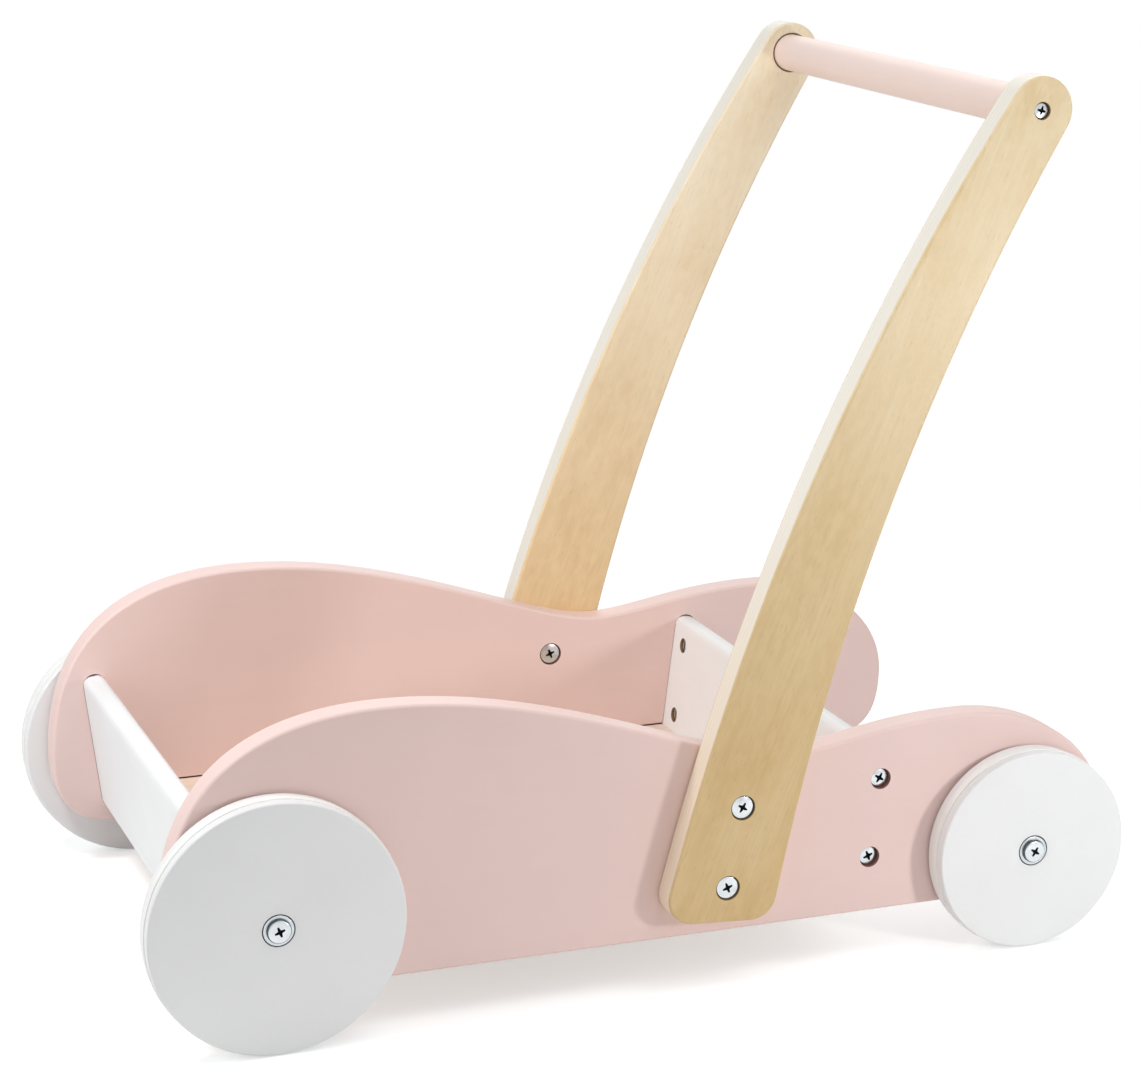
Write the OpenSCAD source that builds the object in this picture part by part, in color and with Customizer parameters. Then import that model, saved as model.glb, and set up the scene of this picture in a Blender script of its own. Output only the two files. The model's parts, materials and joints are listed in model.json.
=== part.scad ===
// Baby push walker: a small wooden wagon on four wheels with a fixed handle for a child learning to walk.
// Origin on the ground under the middle of the length.
// X runs across with the left side at +X, Y runs along with the front at -Y, and Z is up.

/* [Side panels] */
// Width over the outer faces of the two side panels
body_w = 273; // [230:1:320]
// Thickness of a side panel
panel_t = 15; // [14:0.5:18]
// Height of the straight bottom edge above the ground
sole_z = 24.5; // [20:0.5:30]
// Front end of the straight bottom edge
sole_front_y = -205; // [-215:1:-190]
// Rear end of the straight bottom edge
sole_rear_y = 215; // [195:1:225]
// Foremost point of the outline, along the length
nose_y = -242; // [-252:0.5:-238]
// Height of the foremost point
nose_z = 61.5; // [55:0.5:75]
// Crest of the front hump, along the length
hump_y = -135; // [-160:1:-110]
// Height of the front hump
hump_z = 159.5; // [145:0.5:185]
// Lowest point between the humps, along the length
saddle_y = 70; // [50:1:90]
// Height of the lowest point between the humps
saddle_z = 112.5; // [112:0.5:122]
// Crest of the rear hump, along the length
tail_y = 168.5; // [150:0.5:185]
// Height of the rear hump
tail_z = 123; // [122:0.5:145]
// Rearmost point of the outline, along the length
tail_end_y = 249.5; // [240:0.5:262]
// Height of the rearmost point
tail_end_z = 63; // [55:0.5:75]

/* [Cross boards] */
// Thickness of the front and rear boards
board_t = 12; // [10:0.5:14]
// Height of a board along its own face
board_h = 74; // [66:0.5:78]
// Lean of each board away from the load, in degrees
board_lean = 7; // [0:0.5:10]
// Height of a board's middle
board_mid_z = 71; // [70:0.5:74]
// Middle of the front board, along the length
front_board_y = -214; // [-216:0.5:-205]
// Middle of the rear board, along the length
rear_board_y = 120.5; // [112:0.1:130]
// Rounding of a board's long edges
board_edge_r = 4.5; // [1:0.5:5.5]
// Depth of the grooves that hold the boards and the floor
groove_depth = 5; // [3:0.5:6]
// Distance between the two screws at each end of a board
board_screw_pitch = 41; // [30:0.5:46]
// Height of a board's pair of screws above its middle
board_screw_rise = 2.7; // [0:0.1:5]

/* [Floor] */
// Height of the floor's top face
floor_z = 44.5; // [43:0.5:49]
// Thickness of the floor
floor_t = 6; // [5:0.5:8]
// Thickness of the floor's tongues
tongue_t = 4; // [2:0.5:4.5]
// Gap between the floor and each side panel, above the tongue
floor_gap = 0.3; // [0.2:0.1:0.9]
// Height of the panels' grooves above the floor's top face
floor_slit = 0.7; // [0.2:0.1:0.9]

/* [Handle] */
// Thickness of an arm
arm_t = 15; // [12:0.5:18]
// Axis of the handle bar, along the length
bar_y = 190; // [170:1:205]
// Height of the handle bar's axis
bar_z = 425; // [380:1:460]
// Diameter of the handle bar
bar_d = 20; // [18:0.5:24]
// Depth of the bar's seat in each arm
bar_seat = 4; // [2:0.5:5]
// Radius of the arm's bend
arm_bend_r = 1200; // [900:10:2000]
// Width of the arm at the bar
arm_top_w = 33; // [30:0.5:40]
// Width of the arm at its foot
arm_foot_w = 57.5; // [48:0.5:64]
// Middle of the arm's foot, along the length
arm_foot_y = 30; // [10:0.1:50]
// Height of the arm's foot
arm_foot_z = 35.6; // [32:0.1:42]
// Tilt of the foot's edge, in degrees
arm_foot_tilt = 4; // [0:0.5:10]
// Rounding of the foot's corners
arm_foot_r = 13; // [6:0.5:16]
// Height of the lower arm bolt
arm_bolt_low_z = 53; // [51:0.5:61]
// Height of the upper arm bolt
arm_bolt_high_z = 93.5; // [83:0.5:95]
// Shift of the lower arm bolt behind the arm's middle line
arm_bolt_low_shift = 1; // [-4:0.1:4]
// Shift of the upper arm bolt behind the arm's middle line
arm_bolt_high_shift = -1.9; // [-4:0.1:4]

/* [Wheels] */
// Diameter of the front wheels over their tyres
front_wheel_d = 125; // [110:1:135]
// Diameter of the rear wheels over their tyres
rear_wheel_d = 104; // [90:1:120]
// Front axle, along the length
front_axle_y = -191.25; // [-196:0.25:-180]
// Rear axle, along the length
rear_axle_y = 201.75; // [190:0.25:206]
// Width of a wheel
wheel_w = 15; // [13:0.5:20]
// Rounding of a wheel's rim
wheel_edge_r = 1; // [0.5:0.1:2]
// Width of the tyre ring
tyre_w = 4.5; // [4:0.5:6]
// Depth of the tyre ring in the rim
tyre_depth = 3; // [2:0.5:5]
// Height that the tyre ring stands proud of the rim
tyre_proud = 0.5; // [0.2:0.1:0.8]
// Depth of the hub's round recess
hub_recess = 1; // [0.8:0.1:3]

/* [Hardware] */
// Diameter of the axle bolts
axle_bolt_d = 6; // [5:0.5:6]
// Wall of the sleeve on which a wheel turns
axle_sleeve_wall = 1.4; // [1:0.1:2.5]
// Outer diameter of the axle washers
axle_washer_d = 15; // [14:0.5:18]
// Thickness of the washer under an axle bolt's head
axle_washer_t = 1; // [1:0.1:1.6]
// Thickness of the spacer washer between wheel and panel
spacer_t = 1.5; // [1:0.1:3]
// Wall of the threaded insert in the panel
insert_wall = 1.65; // [1:0.05:2.5]
// Length of the threaded insert
insert_len = 12; // [8:0.5:12]
// Diameter of an axle bolt's head
axle_head_d = 12; // [10:0.5:13]
// Height of an axle bolt's head
axle_head_h = 2.2; // [1.6:0.1:3.2]
// Diameter of the arm bolts
arm_bolt_d = 6; // [5:0.5:6]
// Wall of the sleeve nuts that take the arm bolts
sleeve_nut_wall = 0.9; // [0.6:0.1:1.5]
// Diameter of the flat heads of arm bolts and sleeve nuts
arm_head_d = 11.4; // [11:0.2:16]
// Height of those flat heads
arm_head_h = 2.4; // [1.6:0.1:3]
// Diameter of the board screws
board_screw_d = 6; // [4:0.5:6]
// Diameter of a board screw's head
board_head_d = 9.6; // [8:0.1:11]
// Height of a board screw's head
board_head_h = 2.8; // [2:0.1:3.4]
// Depth of a board screw's head seat below the panel's face
board_head_seat = 4.5; // [4:0.5:6]
// Wall that a barrel nut keeps on each side of its screw
barrel_wall = 0.9; // [0.6:0.1:2]
// Length of a barrel nut
barrel_len = 9; // [6:0.5:9]
// Distance of a barrel nut's axis from the panel
barrel_inset = 14; // [12:0.5:20]
// Diameter of the handle bar's screws
bar_screw_d = 4.5; // [4:0.5:5]
// Length of a bar screw inside the bar
bar_screw_grip = 30; // [20:1:45]
// Diameter of a bar screw's head
bar_head_d = 7.4; // [7:0.1:10]
// Height of a bar screw's head
bar_head_h = 2.8; // [2:0.1:3.4]
// Depth of a bar screw's head seat below the arm's face
bar_head_seat = 3.6; // [3.4:0.1:6]

/* [Hidden] */
$fn = 96;

// Radial clearance of a wheel that turns on its sleeve
run_clear = 0.08;
// Clearance of fixed fits
fit_clear = 0.1;
// Clearance of boards, floor and bar in their seats
board_clear = 0.2;
// Room round and above a screw head in its seat
head_clear = 0.5;
// End play of a wheel on each side
end_play = 0.15;
// How far a cut runs past the face that it opens
over = 1;

// How long each curve of the panel's outline keeps its first and last direction, as shares of its span
fullness_chin = [0.69, 0.65];
fullness_nose = [0.71, 0.60];
fullness_slope = [0.43, 0.18];
fullness_rise = [0.28, 0.48];
fullness_tail = [0.56, 0.54];
fullness_heel = [0.735, 0.70];

// Points along each curve, along each edge of an arm, and along each corner
curve_steps = 32;
edge_steps = 32;
corner_steps = 8;

outer_x = body_w / 2;
inner_x = outer_x - panel_t;
arm_x = outer_x + arm_t;
wheel_x = outer_x + spacer_t + end_play;
hub_x = wheel_x + wheel_w - hub_recess;
// Distance of the tyre ring's two sides from the wheel's inner face
tyre_low = (wheel_w - tyre_w) / 2;
tyre_high = tyre_low + tyre_w;
washer_x = hub_x + end_play;
axle_head_x = washer_x + axle_washer_t;
board_half = inner_x + groove_depth - fit_clear;
board_leans = [board_lean, -board_lean];
board_ys = [front_board_y, rear_board_y];
screw_rises = [board_screw_rise - board_screw_pitch / 2, board_screw_rise + board_screw_pitch / 2];
groove_r = board_t / 2 + board_clear;
// The groove's round end stands this far past the board, so that the board's rounded corners fit in it
groove_end = groove_r - board_edge_r + fit_clear
    - sqrt(pow(groove_r - board_edge_r, 2) - pow(board_t / 2 - board_edge_r, 2));
// Half thickness of a leaning board, measured along the length
board_half_y = board_t / 2 / cos(board_lean);
floor_bottom = floor_z - floor_t;

// Bores for the shanks, and the pieces that go round them
axle_bore = axle_bolt_d + 2 * fit_clear;
arm_bolt_bore = arm_bolt_d + 2 * fit_clear;
board_screw_bore = board_screw_d + 2 * fit_clear;
bar_screw_bore = bar_screw_d + 2 * fit_clear;
axle_sleeve_d = axle_bore + 2 * axle_sleeve_wall;
insert_d = axle_bore + 2 * insert_wall;
sleeve_nut_d = arm_bolt_bore + 2 * sleeve_nut_wall;
barrel_d = board_screw_bore + 2 * barrel_wall;
// Seat of a flat head below the face of arm or panel
arm_head_seat = arm_head_h + head_clear;
// A barrel nut's end lies this far below the board's face
barrel_seat = 1;
// A board screw's tip passes its barrel nut's axis by this much
screw_reach = 6;
// Room left between a shank's tip and the end of its bore
tip_room = 1;
// A sleeve nut reaches this far into the arm, and its bolt this far into the panel
sleeve_nut_reach = 7.5;
arm_bolt_reach = 5;
// Cross recess of a screw head: length and width as shares of its diameter, depth as a share of its height
cross_len = 0.56;
cross_w = 0.18;
cross_depth = 0.6;
// Share of a head's height that is its upright rim, below the dome
head_rim = 0.8;
// Rounding of the tyre ring's shoulders
tyre_shoulder_r = tyre_proud;
// Height over the foot within which the arm's edges run straight
ankle = 2 * arm_foot_r;

// Where the shanks end, and where the barrel nuts and inserts sit
barrel_x = inner_x - barrel_inset;
board_screw_tip_x = barrel_x - screw_reach;
bar_screw_tip_x = outer_x + bar_seat - bar_screw_grip;
insert_x = outer_x - insert_len;

// Axles, front then rear: place along the length, and wheel diameter
axles = [[front_axle_y, front_wheel_d], [rear_axle_y, rear_wheel_d]];
function hub(a) = [a[0], a[1] / 2];

// Outline helpers, in the plane of the side view: first coordinate along the length, second up

function bezier(p, a, b, q, t) =
    pow(1 - t, 3) * p + 3 * pow(1 - t, 2) * t * a + 3 * (1 - t) * t * t * b + pow(t, 3) * q;

// Curve from p to q that starts and ends level or upright
function stretch(p, q, start_level, end_level, full) =
    let (dy = q[0] - p[0], dz = q[1] - p[1])
    let (a = start_level ? p + [dy * full[0], 0] : p + [0, dz * full[0]])
    let (b = end_level ? q - [dy * full[1], 0] : q - [0, dz * full[1]])
    [for (i = [0 : curve_steps - 1]) bezier(p, a, b, q, i / curve_steps)];

// Point where the line through a and b meets the line through c and d
function meet(a, b, c, d) =
    let (u = b - a, v = d - c, w = c - a)
    a + u * (w[0] * v[1] - w[1] * v[0]) / (u[0] * v[1] - u[1] * v[0]);

// Round corner of radius r at v, between the ways to p and to q
function fillet(p, v, q, r) =
    let (u = (p - v) / norm(p - v), w = (q - v) / norm(q - v))
    let (half = acos(u * w) / 2, mid = (u + w) / norm(u + w))
    let (c = v + mid * r / sin(half), start = v + u * r / tan(half), end = v + w * r / tan(half))
    let (a0 = atan2(start[1] - c[1], start[0] - c[0]), a1 = atan2(end[1] - c[1], end[0] - c[0]))
    let (turn = a1 - a0, sweep = turn > 180 ? turn - 360 : turn < -180 ? turn + 360 : turn)
    [for (i = [0 : corner_steps])
        let (a = a0 + sweep * i / corner_steps)
        c + r * [cos(a), sin(a)]];

// Rectangle round the origin with rounded corners
function round_rect(w, h, r) =
    let (p = [[-w / 2, -h / 2], [w / 2, -h / 2], [w / 2, h / 2], [-w / 2, h / 2]])
    [for (i = [0 : 3]) each fillet(p[(i + 3) % 4], p[i], p[(i + 1) % 4], r)];

panel_outline = concat(
    stretch([sole_front_y, sole_z], [nose_y, nose_z], true, false, fullness_chin),
    stretch([nose_y, nose_z], [hump_y, hump_z], false, true, fullness_nose),
    stretch([hump_y, hump_z], [saddle_y, saddle_z], true, true, fullness_slope),
    stretch([saddle_y, saddle_z], [tail_y, tail_z], true, true, fullness_rise),
    stretch([tail_y, tail_z], [tail_end_y, tail_end_z], true, false, fullness_tail),
    stretch([tail_end_y, tail_end_z], [sole_rear_y, sole_z], false, true, fullness_heel),
    [[sole_rear_y, sole_z]]
);

// The arm follows an arc from the middle of its foot up to the bar's axis; a is the arc's lean from upright
bar_place = [bar_y, bar_z];
foot_mid = [arm_foot_y, arm_foot_z];
arm_chord = bar_place - foot_mid;
chord_lean = atan2(arm_chord[0], arm_chord[1]);
half_bend = asin(norm(arm_chord) / 2 / arm_bend_r);
foot_lean = chord_lean - half_bend;
arm_lean = chord_lean + half_bend;
function spine(a) = foot_mid + arm_bend_r * [cos(foot_lean) - cos(a), sin(a) - sin(foot_lean)];
function lean_at(z) = asin(sin(foot_lean) + (z - arm_foot_z) / arm_bend_r);
function width(a) = arm_foot_w + (arm_top_w - arm_foot_w) * (a - foot_lean) / (arm_lean - foot_lean);
function edge_point(a, side) = spine(a) + side * width(a) / 2 * [cos(a), -sin(a)];
function edge_line(a0, a1, side) =
    [for (i = [0 : edge_steps]) edge_point(a0 + (a1 - a0) * i / edge_steps, side)];

// The edges run straight below this lean, into the rounded corners of the foot
ankle_lean = lean_at(arm_foot_z + ankle);
rear_edge = edge_line(ankle_lean, arm_lean, 1);
front_edge = edge_line(arm_lean, ankle_lean, -1);
foot_way = foot_mid + [cos(arm_foot_tilt), -sin(arm_foot_tilt)];
front_corner = meet(front_edge[edge_steps - 1], front_edge[edge_steps], foot_mid, foot_way);
rear_corner = meet(rear_edge[1], rear_edge[0], foot_mid, foot_way);
arm_outline = concat(
    rear_edge,
    [for (i = [1 : edge_steps - 1])
        let (turn = 180 * i / edge_steps - arm_lean)
        bar_place + arm_top_w / 2 * [cos(turn), sin(turn)]],
    front_edge,
    fillet(front_edge[edge_steps], front_corner, rear_corner, arm_foot_r),
    fillet(front_corner, rear_corner, rear_edge[0], arm_foot_r)
);
arm_bolt_places = [
    spine(lean_at(arm_bolt_low_z)) + [arm_bolt_low_shift, 0],
    spine(lean_at(arm_bolt_high_z)) + [arm_bolt_high_shift, 0]
];

// Placing helpers

// Plate of thickness t that starts at x, from an outline of the side view
module plate(x, t) {
    translate([x, 0, 0]) rotate([90, 0, 90]) linear_extrude(t) children();
}

// Round bar along X, from x0 to x1, at a place of the side view
module rod(x0, x1, place, d) {
    translate([x0, place[0], place[1]]) rotate([0, 90, 0]) cylinder(h = x1 - x0, d = d);
}

// Turned piece with its axis along X at a place of the side view
module turned(x, place) {
    translate([x, place[0], place[1]]) rotate([0, 90, 0]) children();
}

module both_sides() {
    children();
    mirror([1, 0, 0]) children();
}

// Own frame of a cross board, in which it stands upright
module at_board(i) {
    translate([0, board_ys[i], board_mid_z]) rotate([board_leans[i], 0, 0]) children();
}

// Domed screw head that stands on the plane Z = 0, with a cross recess
module screw_head(d, h) {
    dome_h = h * (1 - head_rim);
    dome_r = (pow(d / 2, 2) + pow(dome_h, 2)) / (2 * dome_h);
    difference() {
        intersection() {
            cylinder(h = h, d = d);
            translate([0, 0, h - dome_r]) sphere(r = dome_r);
        }
        for (turn = [0, 90])
            rotate([0, 0, turn])
                translate([-d * cross_len / 2, -d * cross_w / 2, h * (1 - cross_depth)])
                    cube([d * cross_len, d * cross_w, h]);
    }
}

// Screw along X whose head sits at head_x and whose shank reaches in to tip_x
module screw(head_x, tip_x, place, head_d, head_h, shank_d) {
    turned(head_x, place) screw_head(head_d, head_h);
    rod(tip_x, head_x, place, shank_d);
}

// Ring along X, from x0 to x1
module ring(x0, x1, place, outer_d, inner_d) {
    difference() {
        rod(x0, x1, place, outer_d);
        rod(x0 - over, x1 + over, place, inner_d);
    }
}

// Round-ended groove for a board's end, in the board's own frame
module board_groove() {
    end_z = board_h / 2 + groove_end - groove_r;
    translate([inner_x - over, -groove_r, -end_z]) cube([groove_depth + over, 2 * groove_r, 2 * end_z]);
    for (z = [-end_z, end_z])
        rod(inner_x - over, inner_x + groove_depth, [0, z], 2 * groove_r);
}

// Holes for a board's two screws, in the board's own frame
module board_screw_holes() {
    for (z = screw_rises) {
        rod(inner_x - over, outer_x + over, [0, z], board_screw_bore);
        rod(outer_x - board_head_seat, outer_x + over, [0, z], board_head_d + 2 * head_clear);
    }
}

// Front and rear end of the floor at a height, with a gap to the leaning boards
function floor_end(z, gap) = [
    front_board_y - (z - board_mid_z) * tan(board_lean) + board_half_y + gap,
    rear_board_y + (z - board_mid_z) * tan(board_lean) - board_half_y - gap
];

// Side view of a floor layer between two heights, with ends that follow the leaning boards
module floor_profile(z0, z1, gap) {
    low = floor_end(z0, gap);
    high = floor_end(z1, gap);
    polygon([[low[0], z0], [low[1], z0], [high[1], z1], [high[0], z1]]);
}

// Sub-parts

module side_panel() {
    difference() {
        plate(inner_x, panel_t) polygon(panel_outline);
        for (i = [0, 1])
            at_board(i) {
                board_groove();
                board_screw_holes();
            }
        plate(inner_x - over, groove_depth + over)
            floor_profile(floor_bottom - fit_clear, floor_z + floor_slit, -board_half_y);
        for (p = arm_bolt_places) {
            rod(inner_x - over, outer_x + over, p, sleeve_nut_d + 2 * fit_clear);
            rod(inner_x - over, inner_x + arm_head_seat, p, arm_head_d + 2 * head_clear);
        }
        for (a = axles)
            rod(outer_x - insert_len - fit_clear, outer_x + over, hub(a), insert_d + 2 * fit_clear);
    }
}

module side_panel_left() {
    color("#E6C8C1") side_panel();
}

module side_panel_right() {
    color("#E6C8C1") mirror([1, 0, 0]) side_panel();
}

// Frame of a barrel nut in the board's own frame: its outer end on Z = 0, facing the load
module barrel_place(z, inward) {
    translate([barrel_x, inward * (board_t / 2 - barrel_seat), z])
        rotate([-90 * inward, 0, 0])
            children();
}

// A cross board with its end bores and the holes for its barrel nuts; inward is the side of the load
module cross_board(i, inward) {
    at_board(i)
        difference() {
            plate(-board_half, 2 * board_half) polygon(round_rect(board_t, board_h, board_edge_r));
            both_sides()
                for (z = screw_rises) {
                    rod(board_screw_tip_x - tip_room, board_half + over, [0, z], board_screw_bore);
                    barrel_place(z, inward)
                        translate([0, 0, -barrel_len - fit_clear])
                            cylinder(h = barrel_len + barrel_seat + over, d = barrel_d + 2 * fit_clear);
                }
        }
}

module front_board() {
    color("#F4F3F1") cross_board(0, 1);
}

module rear_board() {
    color("#F4F3F1") cross_board(1, -1);
}

module floor_panel() {
    half = inner_x - floor_gap;
    tongue_half = inner_x + groove_depth - board_clear;
    tongue_top = floor_bottom + tongue_t;
    color("#EBCFB2") {
        plate(-half, 2 * half) floor_profile(floor_bottom, floor_z, board_clear);
        plate(-tongue_half, 2 * tongue_half) floor_profile(floor_bottom, tongue_top, board_clear);
    }
}

module handle_arm() {
    difference() {
        plate(outer_x, arm_t) polygon(arm_outline);
        for (p = arm_bolt_places) {
            rod(outer_x - over, arm_x + over, p, sleeve_nut_d + 2 * fit_clear);
            rod(arm_x - arm_head_seat, arm_x + over, p, arm_head_d + 2 * head_clear);
        }
        rod(outer_x - over, outer_x + bar_seat, bar_place, bar_d + 2 * board_clear);
        rod(outer_x, arm_x + over, bar_place, bar_screw_bore);
        rod(arm_x - bar_head_seat, arm_x + over, bar_place, bar_head_d + 2 * head_clear);
    }
}

module handle_arm_left() {
    color("#DFC594") handle_arm();
}

module handle_arm_right() {
    color("#DFC594") mirror([1, 0, 0]) handle_arm();
}

module handle_bar() {
    half = outer_x + bar_seat - fit_clear;
    color("#EFD6CF")
        difference() {
            rod(-half, half, bar_place, bar_d);
            both_sides()
                rod(bar_screw_tip_x - tip_room, half + over, bar_place, bar_screw_bore);
        }
}

module handle_bar_screws() {
    color("silver")
        both_sides()
            screw(arm_x - bar_head_seat, bar_screw_tip_x, bar_place, bar_head_d, bar_head_h, bar_screw_d);
}

module arm_bolts() {
    color("silver")
        both_sides()
            for (p = arm_bolt_places)
                screw(arm_x - arm_head_seat, outer_x - arm_bolt_reach, p, arm_head_d, arm_head_h, arm_bolt_d);
}

module arm_sleeve_nuts() {
    seat_x = inner_x + arm_head_seat;
    mouth_x = outer_x + sleeve_nut_reach;
    color("silver")
        both_sides()
            for (p = arm_bolt_places)
                difference() {
                    union() {
                        translate([seat_x, 0, 0])
                            mirror([1, 0, 0])
                                turned(0, p) screw_head(arm_head_d, arm_head_h);
                        rod(seat_x, mouth_x, p, sleeve_nut_d);
                    }
                    rod(seat_x, mouth_x + over, p, arm_bolt_bore);
                }
}

module board_screws(i) {
    color("silver")
        both_sides()
            at_board(i)
                for (z = screw_rises)
                    screw(outer_x - board_head_seat, board_screw_tip_x, [0, z],
                        board_head_d, board_head_h, board_screw_d);
}

module front_board_screws() {
    board_screws(0);
}

module rear_board_screws() {
    board_screws(1);
}

// Barrel nuts lie across the board, and each has a cross bore for its screw
module barrel_nuts(i, inward) {
    color("silver")
        both_sides()
            at_board(i)
                for (z = screw_rises)
                    difference() {
                        barrel_place(z, inward)
                            translate([0, 0, -barrel_len]) cylinder(h = barrel_len, d = barrel_d);
                        rod(barrel_x - barrel_d, barrel_x + barrel_d, [0, z], board_screw_bore);
                    }
}

module front_barrel_nuts() {
    barrel_nuts(0, 1);
}

module rear_barrel_nuts() {
    barrel_nuts(1, -1);
}

// Wheel disc with a rounded rim, a groove for its tyre ring, a hub recess and a turning bore
module wheel(a) {
    rim_r = a[1] / 2 - tyre_proud;
    color("#F2F2F1")
        difference() {
            turned(wheel_x, hub(a))
                rotate_extrude()
                    polygon(concat(
                        [[0, 0]],
                        fillet([0, 0], [rim_r, 0], [rim_r, tyre_low], wheel_edge_r),
                        [[rim_r, tyre_low], [rim_r - tyre_depth, tyre_low],
                         [rim_r - tyre_depth, tyre_high], [rim_r, tyre_high]],
                        fillet([rim_r, tyre_high], [rim_r, wheel_w], [0, wheel_w], wheel_edge_r),
                        [[0, wheel_w]]
                    ));
            rod(wheel_x - over, wheel_x + wheel_w + over, hub(a), axle_sleeve_d + 2 * run_clear);
            rod(hub_x, wheel_x + wheel_w + over, hub(a), axle_washer_d + 2 * head_clear);
        }
}

// Rubber ring that fills the rim's groove, with a crowned tread
module tyre(a) {
    inner_r = a[1] / 2 - tyre_proud - tyre_depth + fit_clear;
    outer_r = a[1] / 2;
    half = tyre_w / 2 - fit_clear;
    color("#EAE6DC")
        turned(wheel_x + (tyre_low + tyre_high) / 2, hub(a))
            rotate_extrude()
                polygon(concat(
                    [[inner_r, -half]],
                    fillet([inner_r, -half], [outer_r, -half], [outer_r, half], tyre_shoulder_r),
                    fillet([outer_r, -half], [outer_r, half], [inner_r, half], tyre_shoulder_r),
                    [[inner_r, half]]
                ));
}

module front_wheel_left() {
    wheel(axles[0]);
}

module front_wheel_right() {
    mirror([1, 0, 0]) wheel(axles[0]);
}

module rear_wheel_left() {
    wheel(axles[1]);
}

module rear_wheel_right() {
    mirror([1, 0, 0]) wheel(axles[1]);
}

module front_tyre_left() {
    tyre(axles[0]);
}

module front_tyre_right() {
    mirror([1, 0, 0]) tyre(axles[0]);
}

module rear_tyre_left() {
    tyre(axles[1]);
}

module rear_tyre_right() {
    mirror([1, 0, 0]) tyre(axles[1]);
}

// Places a piece at each of the four axles; $axle is the axle's place in the side view
module at_axles() {
    both_sides()
        for (a = axles) {
            $axle = hub(a);
            children();
        }
}

module axle_bolts() {
    color("silver")
        at_axles()
            screw(axle_head_x, insert_x + tip_room, $axle, axle_head_d, axle_head_h, axle_bolt_d);
}

module axle_washers() {
    color("gainsboro")
        at_axles()
            ring(washer_x, axle_head_x, $axle, axle_washer_d, axle_bore);
}

module axle_sleeves() {
    color("darkgray")
        at_axles()
            ring(outer_x + spacer_t, washer_x, $axle, axle_sleeve_d, axle_bore);
}

module spacer_washers() {
    color("gainsboro")
        at_axles()
            ring(outer_x, outer_x + spacer_t, $axle, axle_washer_d, axle_bore);
}

module insert_nuts() {
    color("goldenrod")
        at_axles()
            ring(insert_x, outer_x, $axle, insert_d, axle_bore);
}

side_panel_left();
side_panel_right();
front_board();
rear_board();
floor_panel();
handle_arm_left();
handle_arm_right();
handle_bar();
handle_bar_screws();
arm_bolts();
arm_sleeve_nuts();
front_board_screws();
front_barrel_nuts();
rear_board_screws();
rear_barrel_nuts();
front_wheel_left();
front_wheel_right();
rear_wheel_left();
rear_wheel_right();
front_tyre_left();
front_tyre_right();
rear_tyre_left();
rear_tyre_right();
axle_bolts();
axle_washers();
axle_sleeves();
spacer_washers();
insert_nuts();
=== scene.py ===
"""Looks of a wooden baby push walker: painted panels, boards and wheels, birch arms and bright fasteners."""

import json
import math

import bmesh
import bpy
from bpy.props import FloatProperty, FloatVectorProperty, IntProperty, PointerProperty
from mathutils import Matrix, Vector
from mathutils.geometry import delaunay_2d_cdt

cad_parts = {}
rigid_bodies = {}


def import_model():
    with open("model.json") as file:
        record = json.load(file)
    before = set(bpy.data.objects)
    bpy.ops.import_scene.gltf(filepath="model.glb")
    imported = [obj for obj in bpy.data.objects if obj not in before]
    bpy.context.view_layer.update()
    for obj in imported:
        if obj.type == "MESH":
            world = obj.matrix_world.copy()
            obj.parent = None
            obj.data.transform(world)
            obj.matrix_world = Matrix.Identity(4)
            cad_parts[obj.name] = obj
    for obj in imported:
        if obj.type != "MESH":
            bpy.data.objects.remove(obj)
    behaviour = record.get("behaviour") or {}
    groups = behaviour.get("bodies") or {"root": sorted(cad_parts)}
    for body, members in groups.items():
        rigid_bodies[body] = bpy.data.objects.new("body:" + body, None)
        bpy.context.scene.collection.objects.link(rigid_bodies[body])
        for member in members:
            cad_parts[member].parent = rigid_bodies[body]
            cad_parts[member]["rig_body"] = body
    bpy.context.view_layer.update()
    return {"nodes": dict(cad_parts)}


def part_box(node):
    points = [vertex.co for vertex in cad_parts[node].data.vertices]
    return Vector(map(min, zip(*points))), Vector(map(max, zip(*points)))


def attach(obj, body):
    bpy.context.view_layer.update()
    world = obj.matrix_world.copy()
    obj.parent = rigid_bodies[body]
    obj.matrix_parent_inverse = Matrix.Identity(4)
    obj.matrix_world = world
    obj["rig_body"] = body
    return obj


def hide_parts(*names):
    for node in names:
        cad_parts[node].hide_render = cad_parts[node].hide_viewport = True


bl_info = {
    "name": "Baby push walker",
    "version": (1, 0, 0),
    "blender": (4, 5, 0),
    "location": "View3D > Sidebar > Walker",
    "description": "Builds the pieces, finishes and studio of a wooden baby push walker",
    "category": "Object",
}

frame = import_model()
MM = 0.001
WHEELS = [(end, side) for end in ("front", "rear") for side in ("left", "right")]

# Rows are the two axes of a flat face and the way it faces; these suit pieces that are flat across the walker
ACROSS = Matrix(((0, 1, 0), (0, 0, 1), (1, 0, 0)))


def linear(code):
    """Linear RGBA of an sRGB hex colour."""
    parts = [int(code[i:i + 2], 16) / 255 for i in (1, 3, 5)]
    return (*(c / 12.92 if c <= 0.04045 else ((c + 0.055) / 1.055) ** 2.4 for c in parts), 1.0)


def tinted(colour, share):
    """A linear colour made lighter or darker by a share."""
    return (*(c * share for c in colour[:3]), 1.0)


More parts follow.
